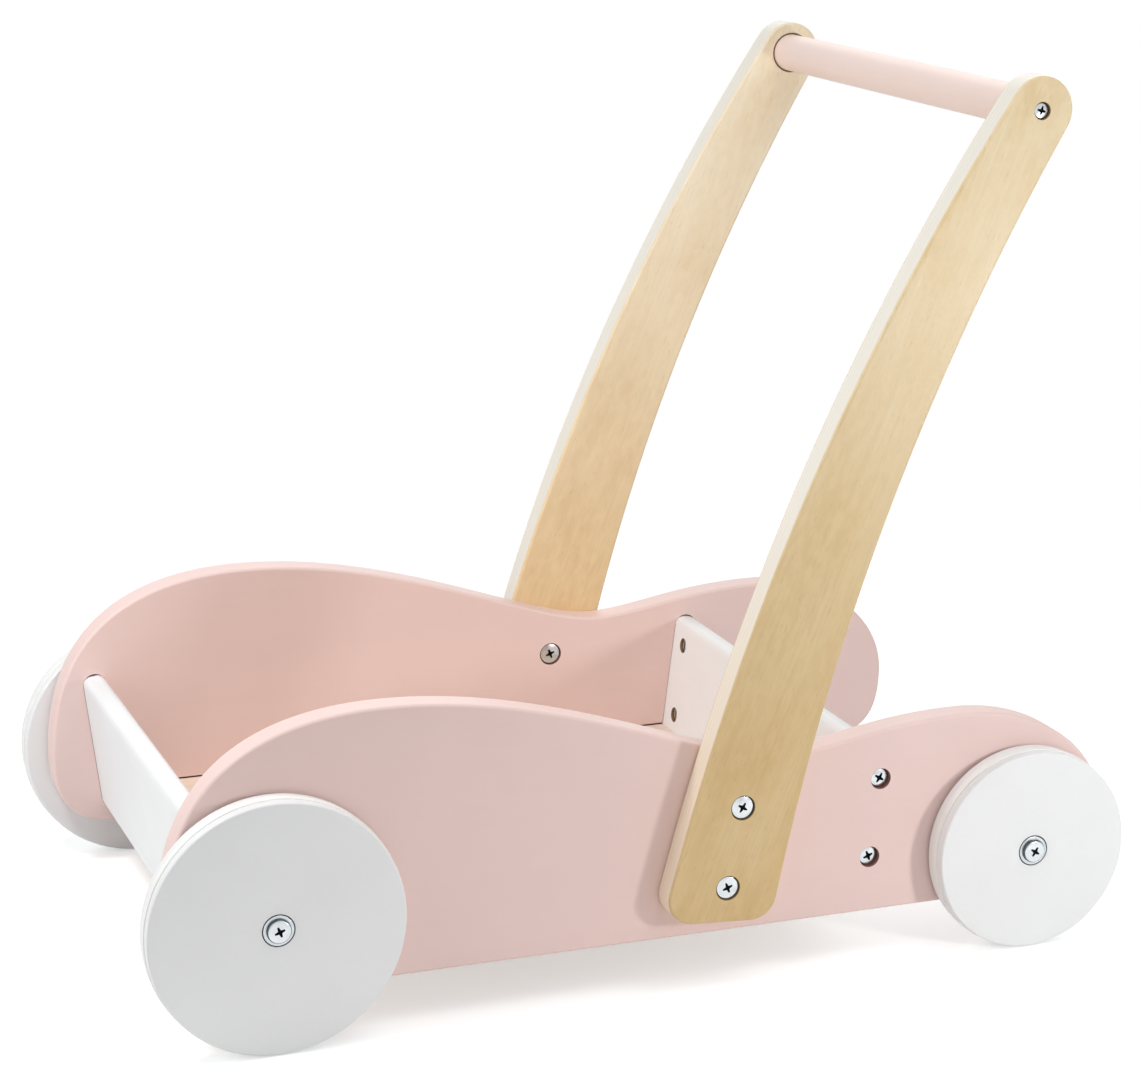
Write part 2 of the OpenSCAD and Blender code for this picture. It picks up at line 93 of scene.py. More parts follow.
class WalkerSizes(bpy.types.PropertyGroup):
    """Roundings of the pieces and fineness of their meshes."""

    panel_edge: FloatProperty(
        name="Panel edge", description="Rounding of the side panels' edges",
        default=1.8 * MM, unit="LENGTH")
    arm_edge: FloatProperty(
        name="Arm edge", description="Rounding of the handle arms' edges",
        default=1.4 * MM, unit="LENGTH")
    board_edge: FloatProperty(
        name="Board edge", description="Rounding of the cross boards' long edges",
        default=4.5 * MM, unit="LENGTH")
    wheel_edge: FloatProperty(
        name="Wheel edge", description="Rounding of the wheels' rims",
        default=1 * MM, unit="LENGTH")
    hole_lip: FloatProperty(
        name="Hole lip", description="Rounding of the mouths of drilled holes",
        default=0.15 * MM, unit="LENGTH")
    groove_lip: FloatProperty(
        name="Groove lip", description="Rounding of the mouths of the panels' grooves",
        default=0.05 * MM, unit="LENGTH")
    seat_lip: FloatProperty(
        name="Seat lip", description="Bevel at the mouth of the bar's seat in each arm",
        default=0.8 * MM, unit="LENGTH")
    metal_edge: FloatProperty(
        name="Metal edge", description="Rounding of the washers' and screw heads' rims",
        default=0.35 * MM, unit="LENGTH")
    pan_shoulder: FloatProperty(
        name="Pan shoulder", description="Rounding of the axle bolts' pan heads",
        default=1.3 * MM, unit="LENGTH")
    dowel_edge: FloatProperty(
        name="Dowel edge", description="Rounding of the handle bar's ends",
        default=1 * MM, unit="LENGTH")
    tyre_crown: FloatProperty(
        name="Tyre crown", description="Rounding of the rubber rings' shoulders",
        default=0.4 * MM, unit="LENGTH")
    round_steps: IntProperty(
        name="Rounding steps", description="Bands of faces in a rounded edge", default=5)
    hole_points: IntProperty(
        name="Hole points", description="Points round a drilled hole or a fastener", default=64)
    wheel_points: IntProperty(
        name="Wheel points", description="Points round a wheel or its ring", default=192)


class WalkerColours(bpy.types.PropertyGroup):
    """Colours of the finishes."""

    pink: FloatVectorProperty(
        name="Pink paint", description="Satin paint of the side panels",
        subtype="COLOR", size=4, default=linear("#EED3CD"))
    white: FloatVectorProperty(
        name="White paint", description="Satin paint of boards and wheels",
        subtype="COLOR", size=4, default=linear("#F0F1F2"))
    blush: FloatVectorProperty(
        name="Blush paint", description="Satin paint of the handle bar",
        subtype="COLOR", size=4, default=linear("#F3DDD4"))
    birch: FloatVectorProperty(
        name="Birch", description="Pale wood of the lacquered birch veneer",
        subtype="COLOR", size=4, default=linear("#FAE8C4"))
    birch_figure: FloatVectorProperty(
        name="Birch figure", description="Darker clouds in the birch veneer",
        subtype="COLOR", size=4, default=linear("#EBD09E"))
    birch_fleck: FloatVectorProperty(
        name="Birch fleck", description="Short dark pores of the birch veneer",
        subtype="COLOR", size=4, default=linear("#BE9A62"))
    # Multiplied into the left arm's veneer towards the ground, making it warmer and darker lower down
    birch_low_warmth: FloatVectorProperty(
        name="Birch heart", description="Stain of the warmer wood at the left arm's foot",
        subtype="COLOR", size=4, default=linear("#DED2B9"))
    # The right arm's paler birch colours: partly its veneer's own tone, partly painted light that makes up
    # for the shade the right arm stands in
    pale_birch: FloatVectorProperty(
        name="Pale birch", description="Pale wood of the right arm's veneer",
        subtype="COLOR", size=4, default=linear("#F9EDD4"))
    pale_birch_figure: FloatVectorProperty(
        name="Pale birch figure", description="Darker clouds in the right arm's veneer",
        subtype="COLOR", size=4, default=linear("#ECD6B0"))
    # Multiplied into the right arm's veneer towards the ground, making it a little darker lower down
    pale_birch_low_warmth: FloatVectorProperty(
        name="Pale birch heart", description="Stain of the warmer wood at the right arm's foot",
        subtype="COLOR", size=4, default=linear("#F7E9CF"))
    birch_edge: FloatVectorProperty(
        name="Birch edge", description="Sanded edge of the birch plywood",
        subtype="COLOR", size=4, default=linear("#F4EFE3"))
    # Multiplied into the left arm's edge towards the ground, making it warmer lower down
    birch_edge_low_warmth: FloatVectorProperty(
        name="Birch edge heart", description="Stain of the warmer edge at the left arm's foot",
        subtype="COLOR", size=4, default=linear("#FFF3E6"))
    floor: FloatVectorProperty(
        name="Floor wood", description="Lacquered plywood of the wagon's floor",
        subtype="COLOR", size=4, default=linear("#F8E3D0"))
    drilled: FloatVectorProperty(
        name="Drilled wood", description="Bare wood in the drilled seats of arms and boards",
        subtype="COLOR", size=4, default=linear("#8A7350"))
    # Rose-brown of the panels' drilled seats and grooves: the pink paint that reaches into them, darkened as
    # painted shade of those hollows
    dusted: FloatVectorProperty(
        name="Dusted wood", description="Drilled and grooved wood of the panels, dusted with their paint",
        subtype="COLOR", size=4, default=linear("#946A62"))
    # Dark seat under each axle washer: bare wood, painted near-black as the shade in the gap round the washer
    hub_seat_shade: FloatVectorProperty(
        name="Hub seat", description="Wood of the wheels' hub seats, darkened by the axles' grease",
        subtype="COLOR", size=4, default=linear("#45433F"))
    zinc: FloatVectorProperty(
        name="Zinc", description="Bright zinc plate of the fasteners",
        subtype="COLOR", size=4, default=linear("#CDD1D4"))
    dull_zinc: FloatVectorProperty(
        name="Dull zinc", description="Duller zinc plate of the axle washers",
        subtype="COLOR", size=4, default=linear("#C2C7CA"))
    # Dark colour of the screw heads' sides: a painted dark reflection, which plain zinc would not show in the
    # white studio
    zinc_painted_dark_reflection: FloatVectorProperty(
        name="Smoked zinc", description="Darker plate on the sides of the screw heads",
        subtype="COLOR", size=4, default=linear("#5A5F63"))
    # Near-black of the screws' cross recesses: painted shade deep in the cross, not the plate's own colour
    recess: FloatVectorProperty(
        name="Recess", description="Thin, dull plate deep in the screws' cross recesses",
        subtype="COLOR", size=4, default=linear("#2B2D2F"))
    brass: FloatVectorProperty(
        name="Brass", description="Brass of the threaded inserts",
        subtype="COLOR", size=4, default=linear("#D6B36A"))
    rubber: FloatVectorProperty(
        name="Rubber", description="Cream rubber of the wheel rings",
        subtype="COLOR", size=4, default=linear("#F8F8F5"))


class WalkerStage(bpy.types.PropertyGroup):
    """Camera, lamps and floor of the studio."""

    camera_place: FloatVectorProperty(
        name="Camera place", description="Where the camera stands",
        subtype="TRANSLATION", size=3, default=(1.43989, -0.52814, 0.59818))
    camera_azimuth: FloatProperty(
        name="Camera azimuth", description="Turn of the view from the walker's length",
        subtype="ANGLE", default=math.radians(69.563))
    camera_elevation: FloatProperty(
        name="Camera elevation", description="Downward tilt of the view",
        subtype="ANGLE", default=math.radians(14.761))
    camera_roll: FloatProperty(
        name="Camera roll", description="Roll of the view about its own axis",
        subtype="ANGLE", default=math.radians(0.2216))
    lens: FloatProperty(
        name="Lens", description="Focal length for a sensor 36 mm wide",
        unit="CAMERA", default=96.95)
    ambient: FloatProperty(
        name="Ambient", description="Strength of the even light from all round", default=0.34)
    top_power: FloatProperty(
        name="Top lamp", description="Power of the softbox overhead", unit="POWER", default=4.2)
    front_power: FloatProperty(
        name="Front lamp", description="Power of the softbox before the front board",
        unit="POWER", default=6.3)
    wagon_power: FloatProperty(
        name="Wagon lamp", description="Power of the small softbox that looks into the wagon",
        unit="POWER", default=1.65)
    back_power: FloatProperty(
        name="Back lamp", description="Power of the softbox behind the right side",
        unit="POWER", default=6.5)
    side_power: FloatProperty(
        name="Side lamp", description="Power of the small lamp beside the rear wheel",
        unit="POWER", default=1.24)
    floor_glow: FloatProperty(
        name="Floor glow", description="Lift that takes the open floor to white for the camera", default=0.42)
    floor_seen: FloatVectorProperty(
        name="Floor", description="Colour of the studio floor as the camera sees it",
        subtype="COLOR", size=4, default=linear("#F7FAFB"))
    floor_bounce: FloatVectorProperty(
        name="Floor bounce", description="Colour of the studio floor for the light that it throws back",
        subtype="COLOR", size=4, default=linear("#F6F5F4"))
    floor_radius: FloatProperty(
        name="Floor radius", description="Reach of the studio floor", unit="LENGTH", default=1.6)


# Materials

def connect(tree, node, sockets):
    """Gives each named or numbered socket of a node its value, or links another node's socket to it."""
    for key, value in sockets.items():
        if isinstance(value, bpy.types.NodeSocket):
            tree.links.new(value, node.inputs[key])
        else:
            node.inputs[key].default_value = value
    return node


def add(tree, kind, sockets, out=0, **settings):
    """Adds a node with its settings and links, and gives one of its outputs."""
    node = tree.nodes.new(kind)
    for name, value in settings.items():
        setattr(node, name, value)
    return connect(tree, node, sockets).outputs[out]


def blank(name):
    """A new material with its node tree and its shader."""
    material = bpy.data.materials.new(name)
    material.use_nodes = True
    return material, material.node_tree, material.node_tree.nodes["Principled BSDF"]


def figure(tree, size_mm, turn=(0.0, 0.0, 0.0), detail=2.0, rough=0.5):
    """Cloudy figure whose clouds measure size_mm along X, Y and Z before the turn."""
    place = add(tree, "ShaderNodeTexCoord", {}, out="Object")
    scaled = add(tree, "ShaderNodeMapping", {"Vector": place, "Rotation": turn,
                 "Scale": [size * MM for size in size_mm]}, vector_type="TEXTURE")
    return add(tree, "ShaderNodeTexNoise", {"Vector": scaled, "Scale": 1.0, "Detail": detail,
               "Roughness": rough})


# Most of a cloudy figure's values lie between these two
MIDDLE = (0.3, 0.7)


def spread(tree, value, to=(0.0, 1.0), of=MIDDLE):
    """Stretches a part of a figure's range over another range."""
    return add(tree, "ShaderNodeMapRange", {"Value": value, "From Min": of[0], "From Max": of[1],
               "To Min": to[0], "To Max": to[1]})


def satin_paint(name, colour, grain_mm):
    """Sprayed satin paint on sanded wood.

    The eye gets an even colour with a faint cloudiness, a soft sheen that is broken up by the orange-peel
    skin of the spray, and the wood's grain just telegraphing through. The skin's real ripple of about 0.5 mm
    is drawn at 1.4 mm so that it shows.
    """
    material, tree, shader = blank(name)
    cloud = figure(tree, (45, 45, 45))
    grain = figure(tree, grain_mm, detail=3.0, rough=0.6)
    skin = figure(tree, (1.4, 1.4, 1.4), detail=1.0)
    shade = add(tree, "ShaderNodeMath", {0: spread(tree, cloud, (0.0, 0.8)),
                1: spread(tree, grain, (0.0, 0.2), (0.35, 0.65))}, operation="ADD")
    base = add(tree, "ShaderNodeMix", {0: shade, 6: tinted(colour, 0.98), 7: tinted(colour, 1.015)},
               out=2, data_type="RGBA")
    relief = add(tree, "ShaderNodeMix", {0: 0.45, 2: skin, 3: grain}, data_type="FLOAT")
    bump = add(tree, "ShaderNodeBump", {"Height": relief, "Strength": 0.25, "Distance": 0.1 * MM})
    connect(tree, shader, {
        "Base Color": base, "Roughness": spread(tree, skin, (0.40, 0.52)),
        "Normal": bump, "IOR": 1.48, "Specular IOR Level": 0.4})
    return material


# The grain runs along the figure's third axis: it leans with the arms, and lies along the walker in the floor
ARM_GRAIN = (math.radians(-22), 0.0, 0.0)
FLOOR_GRAIN = (math.radians(90), 0.0, 0.0)
# Heights between which the arms' veneer and their edges turn from pale to warm
LOW_WARMTH_TOP = 0.40
LOW_WARMTH_FOOT = 0.12
EDGE_LOW_WARMTH_TOP = 0.24
EDGE_LOW_WARMTH_FOOT = 0.10
# The border of the warmer colour wanders up and down by this much
LOW_WARMTH_WANDER = 25 * MM
# Thickness of a ply of the arms in millimetres
PLY_MM = 1.4


def warmed(tree, base, cloud, warm, top, foot):
    """A wood's colour that turns warmer and darker towards the ground between two heights, unevenly, as its
    clouds go.
    """
    place = add(tree, "ShaderNodeTexCoord", {}, out="Object")
    height = add(tree, "ShaderNodeSeparateXYZ", {"Vector": place}, out="Z")
    uneven = add(tree, "ShaderNodeMath", {0: height, 1: spread(tree, cloud, (-LOW_WARMTH_WANDER, LOW_WARMTH_WANDER))},
                 operation="ADD")
    return add(tree, "ShaderNodeMix", {0: spread(tree, uneven, of=(top, foot)), 6: base, 7: warm},
               out=2, data_type="RGBA", blend_type="MULTIPLY")


def lacquered_birch(name, pale, dark, fleck, turn, warm=None):
    """Rotary-cut birch veneer under clear satin lacquer.

    The eye gets a pale yellow wood with soft clouds, fine fibre streaks and short pores along the grain.
    Birch pores are about 0.15 mm wide, and they are drawn at 0.5 mm so that they show. Where a warm colour is
    given, it is multiplied in towards the ground, so that the wood turns warmer and darker lower down.
    """
    material, tree, shader = blank(name)
    cloud = figure(tree, (26, 26, 70), turn, detail=3.0, rough=0.55)
    fibre = figure(tree, (1.6, 1.6, 70), turn, detail=3.0, rough=0.6)
    mottle = figure(tree, (5, 5, 9), turn, detail=2.0)
    pores = figure(tree, (0.5, 0.5, 7), turn, detail=1.0)
    wood = add(tree, "ShaderNodeMix", {0: spread(tree, cloud, of=(0.32, 0.68)), 6: pale, 7: dark},
               out=2, data_type="RGBA")
    streak = add(tree, "ShaderNodeMix", {0: spread(tree, fibre, (0.0, 0.35), (0.35, 0.7)), 6: wood,
                 7: tinted(dark, 0.9)}, out=2, data_type="RGBA")
    glow = add(tree, "ShaderNodeMix", {0: spread(tree, mottle, (0.0, 0.3), (0.4, 0.65)), 6: streak,
               7: tinted(pale, 1.05)}, out=2, data_type="RGBA")
    base = add(tree, "ShaderNodeMix", {0: spread(tree, pores, (0.0, 0.5), (0.66, 0.78)), 6: glow, 7: fleck},
               out=2, data_type="RGBA")
    if warm:
        base = warmed(tree, base, cloud, warm, LOW_WARMTH_TOP, LOW_WARMTH_FOOT)
    bump = add(tree, "ShaderNodeBump", {"Height": fibre, "Strength": 0.25, "Distance": 0.1 * MM})
    connect(tree, shader, {
        "Base Color": base, "Roughness": spread(tree, mottle, (0.42, 0.55)),
        "Normal": bump, "IOR": 1.5, "Coat Weight": 0.15, "Coat Roughness": 0.3})
    return material


def sanded_ply_edge(name, colour, layer_mm, turn, warm=None):
    """Sanded and lacquered edge of birch plywood.

    The eye gets a cream edge in which the plies, 1.4 mm thick and laid crosswise, barely part from each
    other. Where a warm colour is given, it is multiplied in near the ground.
    """
    material, tree, shader = blank(name)
    place = add(tree, "ShaderNodeTexCoord", {}, out="Object")
    across = add(tree, "ShaderNodeSeparateXYZ", {"Vector": place}, out="X")
    ply = add(tree, "ShaderNodeMath", {0: across, 1: math.pi / (layer_mm * MM)}, operation="MULTIPLY")
    band = add(tree, "ShaderNodeMath", {0: ply}, operation="SINE")
    fibre = figure(tree, (0.7, 2.5, 40), turn, detail=2.0)
    tone = add(tree, "ShaderNodeMath", {0: spread(tree, band, (0.0, 0.55), (-0.6, 0.6)),
               1: spread(tree, fibre, (0.0, 0.45), (0.35, 0.65))}, operation="ADD")
    base = add(tree, "ShaderNodeMix", {0: tone, 6: tinted(colour, 1.01), 7: tinted(colour, 0.93)},
               out=2, data_type="RGBA")
    if warm:
        base = warmed(tree, base, fibre, warm, EDGE_LOW_WARMTH_TOP, EDGE_LOW_WARMTH_FOOT)
    bump = add(tree, "ShaderNodeBump", {"Height": tone, "Strength": 0.2, "Distance": 0.08 * MM})
    connect(tree, shader, {
        "Base Color": base, "Roughness": spread(tree, fibre, (0.45, 0.6)),
        "Normal": bump, "IOR": 1.5})
    return material


def drilled_wood(name, colour):
    """Bare end grain in a drilled seat: matt, brown and ringed by the cutter's marks, 0.4 mm apart."""
    material, tree, shader = blank(name)
    rings = figure(tree, (0.4, 6, 6), detail=2.0)
    fibre = figure(tree, (1.5, 1.5, 1.5), detail=2.0)
    tone = add(tree, "ShaderNodeMix", {0: 0.5, 2: rings, 3: fibre}, data_type="FLOAT")
    base = add(tree, "ShaderNodeMix", {0: spread(tree, tone), 6: tinted(colour, 0.7),
               7: tinted(colour, 1.2)}, out=2, data_type="RGBA")
    bump = add(tree, "ShaderNodeBump", {"Height": tone, "Strength": 0.5, "Distance": 0.1 * MM})
    connect(tree, shader, {"Base Color": base, "Roughness": spread(tree, tone, (0.75, 0.95)),
            "Normal": bump})
    return material


def plated_metal(name, colour, rough_low, rough_high):
    """Plated or machined metal: bright, with faint clouds in the plate and fine tool marks, 0.3 mm apart."""
    material, tree, shader = blank(name)
    cloud = figure(tree, (3, 3, 3), detail=3.0)
    marks = figure(tree, (0.3, 0.3, 0.3), detail=1.0)
    base = add(tree, "ShaderNodeMix", {0: spread(tree, cloud), 6: tinted(colour, 0.9),
               7: tinted(colour, 1.05)}, out=2, data_type="RGBA")
    bump = add(tree, "ShaderNodeBump", {"Height": marks, "Strength": 0.12, "Distance": 0.03 * MM})
    connect(tree, shader, {"Base Color": base, "Metallic": 1.0, "Normal": bump,
            "Roughness": spread(tree, cloud, (rough_low, rough_high))})
    return material


def soft_rubber(name, colour):
    """Moulded soft rubber: matt, with a fine bloom and a dusty tread; its grain is drawn at 0.8 mm."""
    material, tree, shader = blank(name)
    bloom = figure(tree, (12, 12, 12), detail=3.0)
    skin = figure(tree, (0.8, 0.8, 0.8), detail=1.0)
    base = add(tree, "ShaderNodeMix", {0: spread(tree, bloom), 6: tinted(colour, 0.95),
               7: tinted(colour, 1.01)}, out=2, data_type="RGBA")
    bump = add(tree, "ShaderNodeBump", {"Height": skin, "Strength": 0.3, "Distance": 0.08 * MM})
    connect(tree, shader, {"Base Color": base, "Roughness": spread(tree, skin, (0.6, 0.78)),
            "Normal": bump, "IOR": 1.5})
    return material


def finish(name):
    """The walker's own finish of that name, made when it is first asked for."""
    if name in bpy.data.materials:
        return bpy.data.materials[name]
    colours = bpy.context.scene.walker_colours
    makers = {
        "satin_pink_paint": lambda: satin_paint(name, colours.pink, (2.5, 110, 2.5)),
        "satin_white_paint": lambda: satin_paint(name, colours.white, (90, 3, 3)),
        "satin_blush_paint": lambda: satin_paint(name, colours.blush, (80, 2, 2)),
        "lacquered_birch_veneer": lambda: lacquered_birch(
            name, colours.birch, colours.birch_figure, colours.birch_fleck, ARM_GRAIN, colours.birch_low_warmth),
        "lacquered_pale_birch_veneer": lambda: lacquered_birch(
            name, colours.pale_birch, colours.pale_birch_figure, colours.birch_fleck, ARM_GRAIN,
            colours.pale_birch_low_warmth),
        "lacquered_birch_edge": lambda: sanded_ply_edge(
            name, colours.birch_edge, PLY_MM, ARM_GRAIN, colours.birch_edge_low_warmth),
        "lacquered_pale_birch_edge": lambda: sanded_ply_edge(name, colours.birch_edge, PLY_MM, ARM_GRAIN),
        "lacquered_floor_plywood": lambda: lacquered_birch(
            name, colours.floor, tinted(colours.floor, 0.86), tinted(colours.floor, 0.6), FLOOR_GRAIN),
        "drilled_bare_wood": lambda: drilled_wood(name, colours.drilled),
        "paint_dusted_wood_and_shade": lambda: drilled_wood(name, colours.dusted),
        "bare_wood_painted_shade": lambda: drilled_wood(name, colours.hub_seat_shade),
        "bright_zinc_plate": lambda: plated_metal(name, colours.zinc, 0.16, 0.28),
        "dull_zinc_plate": lambda: plated_metal(name, colours.dull_zinc, 0.2, 0.34),
        "zinc_painted_dark_reflection_plate": lambda: plated_metal(name, colours.zinc_painted_dark_reflection, 0.3, 0.45),
        "machined_brass": lambda: plated_metal(name, colours.brass, 0.25, 0.35),
        "driver_recess_painted_shade": lambda: plated_metal(name, colours.recess, 0.5, 0.65),
        "cream_rubber": lambda: soft_rubber(name, colours.rubber),
    }
    return makers[name]()


# Reading the solids

# Corners this close are one, and a face this square to an axis is flat along it
WELD = 0.005 * MM
SQUARE = 0.9999
# Loops of less area than this are only cracks between neighbouring faces
SLIVER = 0.02 * MM ** 2
# A circle has at least so many corners, and none strays further than this from it
CIRCLE_CORNERS = 12
OUT_OF_ROUND = 0.02 * MM
# The same outline at two levels drifts and grows by less than this
DRIFT = 0.1 * MM
GROWTH = 0.05 * MM


def signed_area(loop):
    """Area of a closed loop of flat points, positive where it runs anticlockwise."""
    return sum(a[0] * b[1] - b[0] * a[1] for a, b in zip(loop, loop[1:] + loop[:1])) / 2


def centroid(loop):
    """Middle of the area inside a closed loop of flat points."""
    middle = Vector((0, 0))
    for a, b in zip(loop, loop[1:] + loop[:1]):
        middle += (Vector(a) + Vector(b)) * (a[0] * b[1] - b[0] * a[1])
    return middle / (6 * signed_area(loop))


def holds(loop, point):
    """Whether a closed loop goes round a point."""
    inside = False
    for a, b in zip(loop, loop[1:] + loop[:1]):
        if (a[1] > point[1]) != (b[1] > point[1]):
            if point[0] < a[0] + (point[1] - a[1]) * (b[0] - a[0]) / (b[1] - a[1]):
                inside = not inside
    return inside


def chained(steps):
    """Simple closed loops made of single steps from corner to corner."""
    onward = {}
    for a, b in steps:
        onward.setdefault(a, []).append(b)
    loops = []
    path = []
    while onward:
        if not path:
            path.append(next(iter(onward)))
        ahead = onward[path[-1]].pop()
        if not onward[path[-1]]:
            del onward[path[-1]]
        if ahead not in path:
            path.append(ahead)
            continue
        start = path.index(ahead)
        loops.append(path[start:])
        del path[start + 1:]
        while path and path[-1] not in onward:
            path.pop()
    return loops


def flats(node, axes=ACROSS):
    """Flat regions of a solid that face along the third of the axes, as (level, outer loop, hole loops)."""
    bm = bmesh.new()
    bm.from_mesh(frame["nodes"][node].data)
    bmesh.ops.remove_doubles(bm, verts=bm.verts, dist=WELD)
    bm.normal_update()
    bm.verts.index_update()
    places = {corner.index: axes @ corner.co for corner in bm.verts}
    borders = {}
    for face in bm.faces:
        facing = (axes @ face.normal).z
        if abs(facing) < SQUARE:
            continue
        ring = [corner.index for corner in face.verts]
        level = round(places[ring[0]].z, 5)
        steps = borders.setdefault((level, facing > 0), {})
        for a, b in zip(ring, ring[1:] + ring[:1]):
            if (b, a) in steps:
                del steps[b, a]
            else:
                steps[a, b] = True
    bm.free()
    regions = []
    for (level, upward), steps in borders.items():
        loops = [[tuple(places[i].xy) for i in loop] for loop in chained(steps)]
        loops = [loop if upward else loop[::-1] for loop in loops]
        outers = [loop for loop in loops if signed_area(loop) > SLIVER]
        holes = {i: [] for i in range(len(outers))}
        for loop in loops:
            if signed_area(loop) < -SLIVER:
                owners = [i for i, outer in enumerate(outers) if holds(outer, loop[0])]
                holes[min(owners, key=lambda i: signed_area(outers[i]))].append(loop[::-1])
        regions += [(level, outer, holes[i]) for i, outer in enumerate(outers)]
    return regions


def around(radius, points):
    """Evenly spaced points of a circle about the origin."""
    turns = [2 * math.pi * i / points for i in range(points)]
    return [(radius * math.cos(t), radius * math.sin(t)) for t in turns]


class Shape:
    """A loop that may come back at another level: a circle with its centre and radius, or another outline."""

    def __init__(self, loop, points):
        third = len(loop) // 3
        a, b, c = (Vector(loop[i * third]) for i in range(3))
        u, v = b - a, c - a
        cross = 2 * (u.x * v.y - u.y * v.x)
        self.centre = a + Vector((v.y * u.dot(u) - u.y * v.dot(v), u.x * v.dot(v) - v.x * u.dot(u))) / cross
        self.radius = (a - self.centre).length
        self.round = len(loop) >= CIRCLE_CORNERS and all(
            abs((Vector(p) - self.centre).length - self.radius) < OUT_OF_ROUND for p in loop)
        if self.round:
            self.loop = [(self.centre.x + c, self.centre.y + s) for c, s in around(self.radius, points)]
        else:
            self.loop = loop
            self.centre = centroid(loop)
            self.radius = math.sqrt(abs(signed_area(loop)))

    def same_as(self, other):
        """Whether two loops are the same outline, perhaps with other points on it."""
        return (self.centre - other.centre).length < DRIFT and abs(self.radius - other.radius) < GROWTH


def circles(node):
    """Round loops of a solid's flat faces across the walker, as (level, centre, radius)."""
    shapes = [(level, Shape(loop, CIRCLE_CORNERS))
              for level, outer, holes in flats(node) for loop in [outer, *holes]]
    return [(level, shape.centre, round(shape.radius, 5)) for level, shape in shapes if shape.round]


# Mesh helpers

# A corner is moved by no more than the distance over this
MITRE = 0.4


def inset(loop, distance):
    """An anticlockwise loop moved inward by a distance, or outward where that is negative."""
    moved = []
    for before, here, after in zip(loop[-1:] + loop[:-1], loop, loop[1:] + loop[:1]):
        along = (Vector(here) - Vector(before)).normalized()
        onward = (Vector(after) - Vector(here)).normalized()
        normals = [Vector((-way.y, way.x)) for way in (along, onward)]
        middle = (normals[0] + normals[1]).normalized()
        moved.append(Vector(here) + middle * distance / max(middle.dot(normals[0]), MITRE))
    return moved


def rounding(radius, steps):
    """Steps of a rounded edge from its flat face to its wall, as (inset, depth)."""
    turns = [math.pi / 2 * i / steps for i in range(steps + 1)]
    return [(radius * (1 - math.sin(t)), radius * (1 - math.cos(t))) for t in turns]


def bridge(bm, low, high, slot=0):
    """Band of quads between two rings of as many vertices."""
    for i in range(len(low)):
        j = (i + 1) % len(low)
        bm.faces.new((low[i], low[j], high[j], high[i])).material_index = slot


# Kind of triangulation that fills everything inside the outermost loop, and when it takes two points as one
INSIDE = 1
SAME_POINT = 1e-5


def cap(bm, rings, axes, slot):
    """Flat face inside the first ring and outside the others, square to the third of the axes."""
    loops = [[(axes @ corner.co).xy / MM for corner in ring] for ring in rings]
    edges = []
    for loop in loops:
        start = len(edges)
        edges += [(start + i, start + (i + 1) % len(loop)) for i in range(len(loop))]
    _, _, faces, origins, _, _ = delaunay_2d_cdt(sum(loops, []), edges, [], INSIDE, SAME_POINT)
    corners = sum(rings, [])
    flat = sum(loops, [])
    for face in faces:
        numbers = [origins[i][0] for i in face]
        middle = sum((flat[i] for i in numbers), Vector((0, 0))) / 3
        if not any(holds(loop, middle) for loop in loops[1:]):
            bm.faces.new([corners[i] for i in numbers]).material_index = slot


def turned(bm, profile, place, points, closed=True):
    """Turns a profile of (x, radius) about an axis across the walker; a radius of 0 is a pole."""
    rings = []
    for x, radius in profile:
        if radius == 0:
            rings.append([bm.verts.new((x, place[0], place[1]))])
            continue
        rings.append([bm.verts.new((x, place[0] + c, place[1] + s)) for c, s in around(radius, points)])
    pairs = list(zip(rings, rings[1:] + rings[:1])) if closed else list(zip(rings, rings[1:]))
    for low, high in pairs:
        if len(low) == 1 or len(high) == 1:
            pole, ring = (low[0], high) if len(low) == 1 else (high[0], low)
            for i in range(points):
                bm.faces.new((pole, ring[i], ring[(i + 1) % points]))
        else:
            bridge(bm, low, high)


# Edges sharper than this many degrees stay sharp, in wood and in metal
WOOD_SHARP = 40
METAL_SHARP = 30


def settle(bm, name, node, finishes, sharp=WOOD_SHARP):
    """Closes a mesh into an object with its finishes, and lets it stand for a solid.

    It moves with the solid's body.
    """
    bmesh.ops.recalc_face_normals(bm, faces=bm.faces)
    for face in bm.faces:
        face.smooth = True
    for edge in bm.edges:
        edge.smooth = len(edge.link_faces) == 2 and edge.calc_face_angle(0) < math.radians(sharp)
    mesh = bpy.data.meshes.new(name)
    bm.to_mesh(mesh)
    bm.free()
    for material in finishes:
        mesh.materials.append(finish(material))
    piece = bpy.data.objects.new(name, mesh)
    bpy.context.scene.collection.objects.link(piece)
    weighted = piece.modifiers.new("face_weighted_normals", "WEIGHTED_NORMAL")
    weighted.keep_sharp = True
    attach(piece, frame["nodes"][node]["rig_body"])
    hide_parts(node)


# Order of a plate's finishes
FACE, EDGE, HOLE = range(3)


